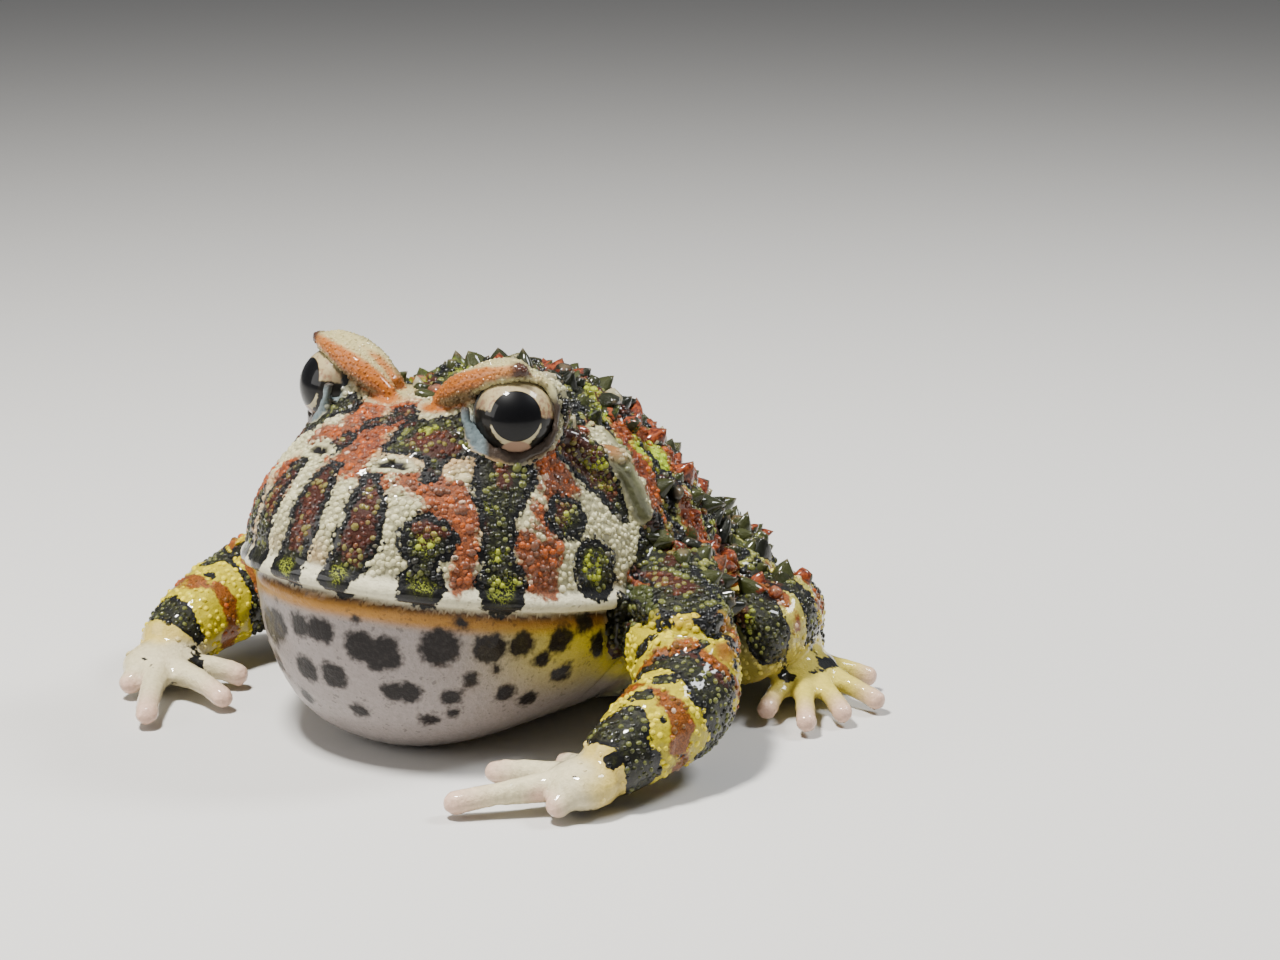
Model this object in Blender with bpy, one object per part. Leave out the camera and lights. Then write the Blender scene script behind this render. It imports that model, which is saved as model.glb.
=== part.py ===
"""Argentine horned frog, life-size and sitting, as a display model made of separate closed solids.

The shapes are worked out in millimetres and brought to metres in the last step.
+X is the frog's left side, -Y is where the snout points, +Z is up, and the floor is z = 0.
"""
import math
import random

import bmesh
import bpy
from mathutils import Matrix, Vector

# Driving dimensions, in millimetres
TO_METRES = 0.001
GAP = 0.3
FLOOR_Z = 0.0
SNOUT_Y = -41.5
VENT_Y = 51.0
NECK_Y = 3.0
MOUTH_HALF_WIDTH = 28.7
MOUTH_CORNER_Z = 20.2
MOUTH_RISE = 7.6
LIP_RADIUS = 2.0
EYE_RADIUS = 5.8
EYE_CENTRE = Vector((16.2, -15.0, 48.4))
EYE_MOUND_HEIGHT = 4.6
EYE_MOUND_SPREAD = 6.4
EYE_OUTWARD_DEG = 42.0
EYE_UPWARD_DEG = 18.0
NOSTRIL = Vector((6.8, -30.2, 43.2))
NOSTRIL_RADII = (1.5, 1.2, 0.9)
ORBIT_RADII = (6.9, 6.9, 6.6)
ORBIT_BEHIND_EYE = 1.9
LID_RADII = (7.0, 6.9, 6.8)
BROW_LIFT = 4.2
BROW_TILT = 0.75
WART_SEED = 7
WART_COUNT = 110
WART_RADIUS = (1.0, 1.5)
WART_SLENDERNESS = (1.3, 1.9)
WART_SUNK = 1.6

# Profiles along the body: (y, value)
HEAD_HEIGHT = [(-41.5, 3.0), (-40.0, 9.0), (-37.0, 13.0), (-33.0, 16.6), (-30.0, 18.6), (-24.0, 22.6),
               (-16.0, 26.3), (-5.0, 26.3), (4.0, 26.6), (12.0, 26.0)]
THROAT_FLOOR = [(-41.5, 23.0), (-40.0, 16.5), (-37.5, 10.5), (-34.0, 5.5), (-29.0, 1.4), (-22.0, -0.6),
                (-10.0, -0.8), (12.0, -0.8)]
BACK_HEIGHT = [(-8.0, 47.5), (5.0, 47.6), (14.0, 45.4), (24.0, 39.4), (34.0, 31.2), (43.0, 22.8),
               (51.0, 16.0)]
BACK_POWER = 1.32
FLANK_HALF_WIDTH = [(-8.0, 27.0), (4.0, 29.6), (12.0, 30.8), (20.0, 29.0), (30.0, 24.6), (40.0, 18.0),
                    (51.0, 10.0)]
FLANK_WIDEST_Z = 14.0
BELLY_Z = -0.7
BELLY_POWER = 0.7

# Rolled front edge of the upper eyelid and the web behind it, measured from the eye's centre,
# from near the midline out to the tip of the horn
LID_ROLL = [(-12.0, -2.2, 0.6), (-8.5, -2.9, 3.0), (-5.0, -2.8, 4.7), (-1.2, -2.2, 6.0), (1.6, -1.6, 6.9),
            (3.5, -1.3, 7.4)]
LID_ROLL_RADII = (1.0, 1.45, 1.6, 1.5, 1.15, 0.7)
LID_WEB = [(-10.0, 0.2, 0.4), (-5.5, 0.4, 3.8), (-1.0, 0.2, 5.7), (2.6, -0.6, 6.9)]
LID_WEB_RADII = (2.2, 2.4, 2.0, 0.9)
# Bony crest from behind the eye down to the corner of the mouth
CREST = [(17.0, -9.0, 46.0), (22.5, -3.0, 40.0), (26.0, 2.0, 33.0), (27.6, 6.0, 26.0)]
CREST_RADII = (1.6, 1.9, 1.9, 1.2)

SKIN_COLOUR = {
    "head": (0.42, 0.30, 0.17),
    "lower_jaw": (0.70, 0.64, 0.52),
    "torso": (0.22, 0.24, 0.09),
    "eyelid_horn": (0.62, 0.33, 0.15),
    "limb": (0.62, 0.52, 0.15),
}


def follow(keys, at):
    """Value of a smooth curve through (position, value) keys; values are numbers or Vectors."""
    last = len(keys) - 1
    i = max(0, min(last - 1, sum(1 for key in keys if key[0] <= at) - 1))

    def slope(j):
        before, after = keys[max(j - 1, 0)], keys[min(j + 1, last)]
        return (after[1] - before[1]) * (1.0 / (after[0] - before[0]))

    (start, low), (end, high) = keys[i], keys[i + 1]
    width = end - start
    u = max(0.0, min(1.0, (at - start) / width))
    ease = 3 * u * u - 2 * u ** 3
    bend_in = slope(i) * (width * (u - 2 * u * u + u ** 3))
    bend_out = slope(i + 1) * (width * (u ** 3 - u * u))
    return low * (1 - ease) + high * ease + bend_in + bend_out


def link(name, mesh):
    obj = bpy.data.objects.new(name, mesh)
    bpy.context.scene.collection.objects.link(obj)
    return obj


def settled(obj):
    """Turns the object's modifiers into plain mesh."""
    bpy.context.view_layer.update()
    graph = bpy.context.evaluated_depsgraph_get()
    mesh = bpy.data.meshes.new_from_object(obj.evaluated_get(graph))
    obj.modifiers.clear()
    obj.data = mesh
    return obj


def keep_largest(obj):
    """Leaves only the largest closed surface of the object."""
    bm = bmesh.new()
    bm.from_mesh(obj.data)
    unseen = set(bm.faces)
    shells = []
    while unseen:
        shell, edge = set(), [unseen.pop()]
        while edge:
            face = edge.pop()
            shell.add(face)
            near = {other for e in face.edges for other in e.link_faces} & unseen
            unseen -= near
            edge.extend(near)
        shells.append(shell)
    largest = max(shells, key=lambda shell: sum(face.calc_area() for face in shell))
    scraps = [face for face in bm.faces if face not in largest]
    bmesh.ops.delete(bm, geom=scraps, context="FACES")
    bm.to_mesh(obj.data)
    bm.free()
    return obj


def join(base, pieces):
    """Fuses closed pieces into the base with one Boolean union, and removes them."""
    group = bpy.data.collections.new(base.name + "_pieces")
    bpy.context.scene.collection.children.link(group)
    for piece in pieces:
        group.objects.link(piece)
    fuse = base.modifiers.new("fuse", "BOOLEAN")
    fuse.operation = "UNION"
    fuse.operand_type = "COLLECTION"
    fuse.collection = group
    fuse.solver = "EXACT"
    settled(base)
    for piece in pieces:
        bpy.data.objects.remove(piece)
    bpy.data.collections.remove(group)
    return keep_largest(base)


def cut(base, cutter, keep_cutter=False):
    """Takes the cutter out of the base."""
    away = base.modifiers.new("cut", "BOOLEAN")
    away.operation = "DIFFERENCE"
    away.object = cutter
    away.solver = "EXACT"
    settled(base)
    if not keep_cutter:
        bpy.data.objects.remove(cutter)
    return keep_largest(base)


def grown(obj, by=GAP):
    """A copy of the object whose surface stands out by a small distance, for use as a cutter."""
    bm = bmesh.new()
    bm.from_mesh(obj.data)
    bm.normal_update()
    moved = [vertex.co + vertex.normal * by for vertex in bm.verts]
    for vertex, place in zip(bm.verts, moved):
        vertex.co = place
    mesh = bpy.data.meshes.new(obj.name + "_grown")
    bm.to_mesh(mesh)
    bm.free()
    return link(obj.name + "_grown", mesh)


def fit_against(obj, *cutters):
    """Cuts the object clear of each neighbour, whose grown copy is the cutter."""
    for cutter in cutters:
        cut(obj, cutter, keep_cutter=True)
    return obj


def sliced(obj, point, normal):
    """Cuts the object off flat at a plane, keeping the side that the normal points to."""
    bm = bmesh.new()
    bm.from_mesh(obj.data)
    everything = bm.verts[:] + bm.edges[:] + bm.faces[:]
    halved = bmesh.ops.bisect_plane(bm, geom=everything, plane_co=point, plane_no=normal, clear_inner=True)
    rim = [part for part in halved["geom_cut"] if isinstance(part, bmesh.types.BMEdge)]
    bmesh.ops.triangle_fill(bm, edges=rim, use_beauty=True, use_dissolve=False)
    bmesh.ops.recalc_face_normals(bm, faces=bm.faces)
    bm.to_mesh(obj.data)
    bm.free()
    return keep_largest(obj)


def on_floor(obj):
    """Flattens the underside at floor level."""
    return sliced(obj, Vector((0, 0, FLOOR_Z)), Vector((0, 0, 1)))


def copy_of(obj, name):
    return link(name, obj.data.copy())


def egg(name, around, along, place):
    """A ball with its poles fore and aft, whose points place(t, angle) sets, t from -1 to 1."""
    bm = bmesh.new()
    bmesh.ops.create_uvsphere(bm, u_segments=around, v_segments=along, radius=1.0)
    for vertex in bm.verts:
        unit = vertex.co.copy()
        vertex.co = place(max(-1.0, min(1.0, unit.z)), math.atan2(unit.y, unit.x))
    if bm.calc_volume(signed=True) < 0:
        bmesh.ops.reverse_faces(bm, faces=bm.faces)
    mesh = bpy.data.meshes.new(name)
    bm.to_mesh(mesh)
    bm.free()
    return link(name, mesh)


def ball(name, centre, radii, segments=16, rings=10, turn=None):
    bm = bmesh.new()
    bmesh.ops.create_uvsphere(bm, u_segments=segments, v_segments=rings, radius=1.0)
    place = Matrix.Translation(centre) @ (turn or Matrix.Identity(4)) @ Matrix.Diagonal((*radii, 1.0))
    bm.transform(place)
    mesh = bpy.data.meshes.new(name)
    bm.to_mesh(mesh)
    bm.free()
    return link(name, mesh)


def tube(name, points, radii, rings=8, sides=2, round_tip=True):
    """A limb-like tube along a smooth curve through the points, with a radius at each point."""
    path = [(i / (len(points) - 1), Vector(point)) for i, point in enumerate(points)]
    thick = [(i / (len(radii) - 1), radius) for i, radius in enumerate(radii)]
    length = sum((path[i + 1][1] - path[i][1]).length for i in range(len(path) - 1))
    tip = radii[-1] / length if round_tip else 0.0
    stations = [(1 - tip) * i / (rings - 1) for i in range(rings)]
    samples = [(t, follow(thick, t)) for t in stations]
    if round_tip:
        for degrees in (62, 38, 16):
            turn = math.radians(degrees)
            samples.append((1 - tip + tip * math.cos(turn), radii[-1] * math.sin(turn)))
    curve = bpy.data.curves.new(name, "CURVE")
    curve.dimensions = "3D"
    curve.bevel_depth = 1.0
    curve.bevel_resolution = sides
    curve.use_fill_caps = True
    spline = curve.splines.new("POLY")
    spline.points.add(len(samples) - 1)
    for point, (t, radius) in zip(spline.points, samples):
        point.co = (*follow(path, t), 1.0)
        point.radius = radius
    guide = link(name + "_guide", curve)
    bpy.context.view_layer.update()
    graph = bpy.context.evaluated_depsgraph_get()
    mesh = bpy.data.meshes.new_from_object(guide.evaluated_get(graph))
    bpy.data.objects.remove(guide)
    bm = bmesh.new()
    bm.from_mesh(mesh)
    bmesh.ops.remove_doubles(bm, verts=bm.verts, dist=0.001)
    bmesh.ops.recalc_face_normals(bm, faces=bm.faces)
    bm.to_mesh(mesh)
    bm.free()
    return link(name, mesh)


def mirrored(obj, name):
    """A copy of the object on the frog's other side."""
    other = copy_of(obj, name)
    other.data.transform(Matrix.Scale(-1, 4, (1, 0, 0)))
    other.data.flip_normals()
    return other


def turned(obj, pivot, degrees):
    """Swings the object about the upright line through the pivot."""
    to_pivot = Matrix.Translation(pivot)
    swing = Matrix.Rotation(math.radians(degrees), 4, "Z")
    obj.data.transform(to_pivot @ swing @ to_pivot.inverted())
    return obj


# Outline of the mouth, shared by the head and the lower jaw
def mouth_half_width(y):
    share = max(0.0, min(1.0, y / SNOUT_Y))
    return MOUTH_HALF_WIDTH * math.sqrt(max(0.0, 1 - share ** 2.4))


def mouth_z(y):
    return MOUTH_CORNER_Z + MOUTH_RISE * max(0.0, y / SNOUT_Y) ** 1.3


def mouth_line(inset, lift, steps=26):
    """Points along the mouth from corner to corner, a little inside its outline."""
    points = []
    for i in range(steps + 1):
        swing = math.pi * i / steps
        share = abs(math.sin(swing)) ** 0.9
        y = SNOUT_Y * share
        x = math.copysign(mouth_half_width(y), math.cos(swing)) if 0 < i < steps else MOUTH_HALF_WIDTH
        if i == steps:
            x = -MOUTH_HALF_WIDTH
        pull = 1 - inset / MOUTH_HALF_WIDTH
        points.append(Vector((x * pull, y * pull, mouth_z(y) + lift)))
    return points


def mouth_block(lift):
    """A closed block below the mouth, whose top follows the line of the mouth."""
    steps, half_width, front, back, floor = 14, 60.0, -60.0, 30.0, -20.0
    bm = bmesh.new()
    bmesh.ops.create_grid(bm, x_segments=1, y_segments=steps, size=1.0)
    for vertex in bm.verts:
        y = front + (back - front) * (vertex.co.y + 1) / 2
        vertex.co = Vector((vertex.co.x * half_width, y, mouth_z(y) + lift))
    skirt = bmesh.ops.extrude_face_region(bm, geom=bm.faces[:])
    for part in skirt["geom"]:
        if isinstance(part, bmesh.types.BMVert):
            part.co.z = floor
    bmesh.ops.recalc_face_normals(bm, faces=bm.faces)
    mesh = bpy.data.meshes.new("below_mouth")
    bm.to_mesh(mesh)
    bm.free()
    return link("below_mouth", mesh)


def signed_power(value, power):
    return math.copysign(abs(value) ** power, value)


# Eyes: two balls that look outwards, forwards and a little up
def eye_axis(side):
    out, up = math.radians(EYE_OUTWARD_DEG), math.radians(EYE_UPWARD_DEG)
    return Vector((side * math.sin(out) * math.cos(up), -math.cos(out) * math.cos(up), math.sin(up)))


def eye_centre(side):
    return Vector((side * EYE_CENTRE.x, EYE_CENTRE.y, EYE_CENTRE.z))


def eye_turn(side):
    """Turns local +Z onto the eye's axis."""
    return eye_axis(side).to_track_quat("Z", "Y").to_matrix().to_4x4()


def make_eye(name, side):
    return ball(name, eye_centre(side), (EYE_RADIUS,) * 3, 20, 12, eye_turn(side))


# Head: cranium and upper jaw in one piece
def head_point(t, angle):
    front, back = SNOUT_Y, NECK_Y + 9
    y = (front + back) / 2 + (back - front) / 2 * t
    cap = (1 - abs(t) ** 14) ** 0.5
    half = mouth_half_width(y) * cap if y < 0 else (MOUTH_HALF_WIDTH + 0.06 * y) * cap
    half = max(half, 0.02)
    height = follow(HEAD_HEIGHT, y) * cap
    x = half * signed_power(math.cos(angle), 0.88)
    rise = signed_power(math.sin(angle), 0.97)
    z = mouth_z(y) + (height * rise if rise > 0 else 5.0 * cap * rise)
    if rise > 0:
        away = ((abs(x) - EYE_CENTRE.x + 1.6) ** 2 + (y - EYE_CENTRE.y - 1.0) ** 2) / EYE_MOUND_SPREAD ** 2
        z += EYE_MOUND_HEIGHT * math.exp(-away) * rise
    return Vector((x, y, z))


def make_head(eyes):
    head = egg("head", 36, 30, head_point)
    pieces = [tube("upper_lip", mouth_line(1.2, 0.8), [LIP_RADIUS] * 2, rings=27, sides=1, round_tip=False)]
    for side in (-1, 1):
        centre, axis = eye_centre(side), eye_axis(side)
        orbit = centre - axis * ORBIT_BEHIND_EYE - Vector((0, 0, 1.0))
        pieces.append(ball("orbit", orbit, ORBIT_RADII, 20, 14))
        crest = [(side * x, y, z) for x, y, z in CREST]
        pieces.append(tube("crest", crest, CREST_RADII, rings=9, sides=1))
    room = join(grown(head), [grown(piece) for piece in pieces])
    join(head, pieces)
    cut(head, mouth_block(GAP / 2))
    for eye in eyes:
        cut(head, grown(eye))
    for side in (-1, 1):
        pit = ball("nostril", Vector((side * NOSTRIL.x, NOSTRIL.y, NOSTRIL.z)), NOSTRIL_RADII, 10, 6)
        cut(head, pit)
    sliced(head, Vector((0, NECK_Y - GAP / 2, 0)), Vector((0, -1, 0)))
    return head, room


# Lower jaw with the full throat below it
def jaw_point(t, angle):
    front, back = SNOUT_Y + 1.0, NECK_Y + 9
    y = (front + back) / 2 + (back - front) / 2 * t
    cap = (1 - abs(t) ** 14) ** 0.5
    half = (mouth_half_width(y - 0.9) - 0.9) * cap if y < 0 else MOUTH_HALF_WIDTH * 0.97 * cap
    half = max(half, 0.02)
    x = half * signed_power(math.cos(angle), 0.85)
    rise = signed_power(math.sin(angle), 0.9)
    depth = (mouth_z(y) - follow(THROAT_FLOOR, y)) * cap
    z = mouth_z(y) + (3.0 * cap * rise if rise > 0 else depth * rise)
    return Vector((x, y, z))


def make_jaw():
    jaw = egg("lower_jaw", 30, 22, jaw_point)
    above = mouth_block(-GAP / 2)
    meet = jaw.modifiers.new("below", "BOOLEAN")
    meet.operation = "INTERSECT"
    meet.object = above
    meet.solver = "EXACT"
    settled(jaw)
    bpy.data.objects.remove(above)
    keep_largest(jaw)
    sliced(jaw, Vector((0, NECK_Y - GAP / 2, 0)), Vector((0, -1, 0)))
    return on_floor(jaw)


# Torso: a broad, domed sack that is widest low down
def torso_point(t, angle):
    front, back = NECK_Y - 10, VENT_Y
    y = (front + back) / 2 + (back - front) / 2 * t
    cap = (1 - abs(t) ** 5) ** 0.5
    half = follow(FLANK_HALF_WIDTH, y) * cap
    top = FLANK_WIDEST_Z + (follow(BACK_HEIGHT, y) - FLANK_WIDEST_Z) * cap
    bottom = FLANK_WIDEST_Z + (BELLY_Z - FLANK_WIDEST_Z) * cap
    rise = math.sin(angle)
    x = half * signed_power(math.cos(angle), BACK_POWER if rise > 0 else BELLY_POWER)
    z = FLANK_WIDEST_Z + (top - FLANK_WIDEST_Z if rise > 0 else FLANK_WIDEST_Z - bottom) * rise
    return Vector((x, y, z))


def torso_frame(t, angle):
    """Point and outward direction on the torso's surface."""
    step = 0.01
    here = torso_point(t, angle)
    along = torso_point(t + step, angle) - torso_point(t - step, angle)
    around = torso_point(t, angle + step) - torso_point(t, angle - step)
    out = around.cross(along)
    if out.dot(here - Vector((0, here.y, FLANK_WIDEST_Z))) < 0:
        out.negate()
    return here, out.normalized()


def wart(centre, out, radius, height):
    """A pointed wart: a six-sided cone leaning back, with its root well inside the skin."""
    lean = (out + Vector((0, 0.35, 0))).normalized()
    bm = bmesh.new()
    bmesh.ops.create_cone(bm, cap_ends=True, segments=6, radius1=radius * 1.25, radius2=radius * 0.16,
                          depth=height + WART_SUNK)
    turn = lean.to_track_quat("Z", "Y").to_matrix().to_4x4()
    bm.transform(Matrix.Translation(centre + lean * ((height - WART_SUNK) / 2)) @ turn)
    mesh = bpy.data.meshes.new("wart")
    bm.to_mesh(mesh)
    bm.free()
    return link("wart", mesh)


def crowded(point, others, reach):
    """True where one of the other objects comes within reach of the point."""
    for other in others:
        found, nearest, _, _ = other.closest_point_on_mesh(point)
        if found and (nearest - point).length < reach:
            return True
    return False


def make_warts(limbs):
    """Warts set at random over the back and flanks, largest along the upper sides."""
    draw = random.Random(WART_SEED)
    warts, places = [], []
    tries = 0
    while len(warts) < WART_COUNT and tries < 6000:
        tries += 1
        t, angle = draw.uniform(-0.58, 0.86), draw.uniform(math.radians(12), math.radians(168))
        centre, out = torso_frame(t, angle)
        if centre.y < NECK_Y + 3.2 or centre.z < 13:
            continue
        edge = abs(abs(centre.x) - 21) < 5
        radius = draw.uniform(*WART_RADIUS) * (1.25 if edge else 1.0)
        if any((centre - other).length < reach + radius * 1.5 for other, reach in places):
            continue
        if crowded(centre, limbs, 4.5) or crowded(centre + out * 3, limbs, 3.0):
            continue
        places.append((centre, radius * 1.5))
        warts.append(wart(centre, out, radius, radius * draw.uniform(*WART_SLENDERNESS)))
    return warts


# Upper eyelid: a fleshy flap over the eye that rises to a blunt horn
def make_eyelid(name, side, eye, head_room):
    centre, axis = eye_centre(side), eye_axis(side)
    lid = ball(name, centre + Vector((0, 0.3, 0.2)), LID_RADII, 24, 16)
    brow = centre + Vector((0, 0, BROW_LIFT)) + axis * 1.5
    sliced(lid, brow, (Vector((0, 0, 1)) - axis * BROW_TILT).normalized())
    roll = [centre + Vector((side * x, y, z)) for x, y, z in LID_ROLL]
    web = [centre + Vector((side * x, y, z)) for x, y, z in LID_WEB]
    join(lid, [tube("roll", roll, LID_ROLL_RADII, rings=10, sides=2),
               tube("web", web, LID_WEB_RADII, rings=7, sides=2)])
    cut(lid, grown(eye))
    return fit_against(lid, head_room)


# Front limbs: shoulder, elbow turned out, forearm and hand turned in
SHOULDER = Vector((25.0, 8.5, 20.0))
ELBOW = Vector((41.8, -9.4, 11.0))
WRIST = Vector((41.2, -24.5, 6.4))
ARM = [SHOULDER, (35.4, -2.2, 16.2), ELBOW, (42.2, -17.0, 8.8), WRIST, (40.2, -28.0, 5.0)]
ARM_RADII = (9.3, 8.2, 7.2, 6.6, 5.2, 4.4)
PALM = Vector((39.4, -29.8, 4.0))
PALM_RADII = (5.0, 5.4, 3.5)
FINGERS = [
    [(37.0, -27.5, 3.6), (33.0, -23.5, 3.2), (28.6, -21.0, 1.8)],
    [(36.0, -29.5, 3.8), (29.5, -29.6, 3.4), (22.4, -30.2, 1.8)],
    [(37.0, -31.5, 3.8), (31.5, -37.6, 3.2), (25.6, -43.4, 1.9)],
    [(39.5, -31.5, 3.8), (39.4, -34.4, 2.8), (38.4, -36.8, 2.0)],
]
FINGER_RADIUS = (2.3, 1.75, 1.9)


def swung(place, side, swing):
    """A direction of the left limb, brought to this side and swung about the upright line."""
    left = Vector((side * place[0], place[1], place[2]))
    return Matrix.Rotation(math.radians(swing), 4, "Z") @ left


def make_arm(suffix, side, swing, neighbours):
    """The three nodes of a front limb, cut apart at the elbow and the wrist."""
    arm = tube("arm", ARM, ARM_RADII, rings=15, sides=3)
    palm = ball("palm", PALM, PALM_RADII, 14, 8)
    fingers = [tube("finger", points, FINGER_RADIUS, rings=5, sides=1) for points in FINGERS]
    join(arm, [palm, *fingers])
    if side < 0:
        left, arm = arm, mirrored(arm, "arm_right")
        bpy.data.objects.remove(left)
    pivot = Vector((side * SHOULDER.x, SHOULDER.y, 0))
    turned(arm, pivot, swing)
    on_floor(arm)
    fit_against(arm, *neighbours)
    elbow_line = swung((0.35, -1.0, -0.1), side, swing).normalized()
    wrist_line = swung((-0.3, -1.0, -0.25), side, swing).normalized()
    elbow, wrist = (swung(place - Vector((SHOULDER.x, SHOULDER.y, 0)), side, swing) + pivot
                    for place in (ELBOW, WRIST))
    nodes = []
    for name, cuts in (("upper_arm", ((elbow, -elbow_line),)),
                       ("forearm", ((elbow, elbow_line), (wrist, -wrist_line))),
                       ("hand", ((wrist, wrist_line),))):
        node = copy_of(arm, name + suffix)
        for point, keep in cuts:
            sliced(node, point + keep * (GAP / 2), keep)
        nodes.append(node)
    room = grown(arm)
    bpy.data.objects.remove(arm)
    return nodes, room


# Hind limbs: thigh against the flank, shank folded back beside it, foot splayed outwards
THIGH = ([(10.0, 37.0, 14.0), (22.0, 27.0, 14.5), (34.0, 15.0, 12.0)], (9.5, 9.2, 7.0))
SHANK = ([(34.6, 13.5, 11.0), (34.6, 24.0, 12.6), (29.5, 35.5, 10.5)], (6.6, 6.8, 5.0))
ANKLE = ([(29.0, 37.0, 8.0), (33.6, 31.0, 6.4), (38.0, 24.5, 4.4)], (5.0, 4.4, 4.0))
TOES = [
    [(38.5, 23.0, 4.2), (39.4, 17.0, 3.4), (40.8, 11.6, 1.9)],
    [(40.0, 23.0, 4.2), (44.6, 16.6, 3.4), (48.8, 10.6, 1.9)],
    [(41.0, 24.0, 4.2), (46.2, 21.2, 3.2), (51.2, 17.6, 1.8)],
    [(40.5, 26.5, 4.2), (46.6, 26.6, 3.2), (52.4, 26.0, 1.8)],
    [(38.5, 28.5, 4.6), (42.0, 32.0, 3.6), (46.0, 34.8, 1.9)],
]
TOE_RADIUS = (2.6, 1.9, 1.9)
HIP = Vector((14.0, 36.0, 0.0))
SOLE = Vector((39.6, 25.5, 3.9))
SOLE_RADII = (4.6, 5.4, 3.6)


def make_leg(suffix, side, swing, torso_room, arm_room):
    """The three nodes of a hind limb, each cut clear of the one before."""
    pivot = Vector((side * HIP.x, HIP.y, HIP.z))

    def posed(obj, name):
        if side < 0:
            left, obj = obj, mirrored(obj, name + "_other")
            bpy.data.objects.remove(left)
        obj.name = name
        turned(obj, pivot, swing)
        return on_floor(obj)

    thigh = posed(tube("thigh", *THIGH, rings=9, sides=3), "thigh" + suffix)
    shank = posed(tube("shank", *SHANK, rings=9, sides=3), "shank" + suffix)
    ankle = tube("ankle", *ANKLE, rings=6, sides=2)
    sole = ball("sole", SOLE, SOLE_RADII, 14, 8)
    toes = [tube("toe", points, TOE_RADIUS, rings=5, sides=1) for points in TOES]
    foot = posed(join(ankle, [sole, *toes]), "foot" + suffix)
    fit_against(thigh, torso_room, arm_room)
    thigh_room = grown(thigh)
    fit_against(shank, torso_room, arm_room, thigh_room)
    shank_room = grown(shank)
    fit_against(foot, torso_room, thigh_room, shank_room)
    for room in (thigh_room, shank_room):
        bpy.data.objects.remove(room)
    return thigh, shank, foot


def paint(obj, colour, roughness):
    material = bpy.data.materials.new(obj.name)
    material.use_nodes = True
    shader = material.node_tree.nodes["Principled BSDF"]
    shader.inputs["Base Color"].default_value = (*colour, 1.0)
    shader.inputs["Roughness"].default_value = roughness
    shader.inputs["Metallic"].default_value = 0.0
    obj.data.materials.clear()
    obj.data.materials.append(material)
    obj.data.shade_smooth()
    obj.data.set_sharp_from_angle(angle=math.radians(40))


def main():
    for obj in list(bpy.data.objects):
        bpy.data.objects.remove(obj)
    eyes = {side: make_eye("eye" + name, side) for side, name in ((1, "_left"), (-1, "_right"))}
    head, head_room = make_head(eyes.values())
    jaw = make_jaw()
    torso = egg("torso", 36, 26, torso_point)
    sliced(torso, Vector((0, NECK_Y + GAP / 2, 0)), Vector((0, 1, 0)))
    on_floor(torso)
    lids = [make_eyelid("eyelid_horn" + name, side, eyes[side], head_room)
            for side, name in ((1, "_left"), (-1, "_right"))]
    torso_room, jaw_room = grown(torso), grown(jaw)
    limbs = []
    for suffix, side, arm_swing, leg_swing in (("_left", 1, 0.0, 0.0), ("_right", -1, -5.0, 4.0)):
        arm, arm_room = make_arm(suffix, side, arm_swing, (torso_room, jaw_room, head_room))
        limbs += arm
        limbs += make_leg(suffix, side, leg_swing, torso_room, arm_room)
        bpy.data.objects.remove(arm_room)
    for room in (head_room, torso_room, jaw_room):
        bpy.data.objects.remove(room)
    bpy.context.view_layer.update()
    join(torso, make_warts(limbs))
    for obj, colour, roughness in [(head, "head", 0.4), (jaw, "lower_jaw", 0.5), (torso, "torso", 0.4)]:
        paint(obj, SKIN_COLOUR[colour], roughness)
    for lid in lids:
        paint(lid, SKIN_COLOUR["eyelid_horn"], 0.4)
    for limb in limbs:
        paint(limb, SKIN_COLOUR["limb"], 0.45)
    for eye in eyes.values():
        paint(eye, (0.02, 0.02, 0.02), 0.05)
    parts = bpy.data.collections.new("argentine_horned_frog")
    bpy.context.scene.collection.children.link(parts)
    corners = []
    for obj in list(bpy.context.scene.collection.objects):
        bpy.context.scene.collection.objects.unlink(obj)
        parts.objects.link(obj)
        corners += [vertex.co.copy() for vertex in obj.data.vertices]
    middle = [(min(c[i] for c in corners) + max(c[i] for c in corners)) / 2 for i in (0, 1)]
    to_origin = Matrix.Translation((-middle[0], -middle[1], 0))
    for obj in parts.objects:
        obj.data.transform(Matrix.Scale(TO_METRES, 4) @ to_origin)


main()
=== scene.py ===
"""Argentine horned frog, sitting: one continuous skin with its warts and beads, and two eyes.

Forms are worked out in millimetres, with +X the frog's left side, -Y where the snout points and
the floor at z = 0. Each finished piece is brought into the frame by the place of the left eye.
"""
import math

import bmesh
import bpy
import numpy as np
from mathutils import Matrix, Vector, noise


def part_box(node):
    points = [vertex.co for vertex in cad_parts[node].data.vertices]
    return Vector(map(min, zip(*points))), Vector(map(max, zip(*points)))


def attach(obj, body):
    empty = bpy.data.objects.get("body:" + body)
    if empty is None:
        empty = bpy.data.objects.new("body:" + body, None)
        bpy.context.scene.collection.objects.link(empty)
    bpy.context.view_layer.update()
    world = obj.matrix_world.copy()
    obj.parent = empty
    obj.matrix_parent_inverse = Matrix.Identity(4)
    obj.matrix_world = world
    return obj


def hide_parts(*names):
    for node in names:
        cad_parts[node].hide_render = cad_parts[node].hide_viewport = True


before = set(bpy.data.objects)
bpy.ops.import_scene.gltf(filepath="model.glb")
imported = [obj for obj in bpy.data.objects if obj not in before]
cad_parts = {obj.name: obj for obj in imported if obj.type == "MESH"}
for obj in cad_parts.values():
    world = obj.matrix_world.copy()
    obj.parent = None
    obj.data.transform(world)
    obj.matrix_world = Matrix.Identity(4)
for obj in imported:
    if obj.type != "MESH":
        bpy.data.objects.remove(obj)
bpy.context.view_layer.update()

# The place of the animal in the frame
# The left eyeball is the one part whose middle both descriptions share, so it carries
# the millimetre forms into the frame.
LEFT_EYE = Vector((16.2, -15.0, 48.4))
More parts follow.
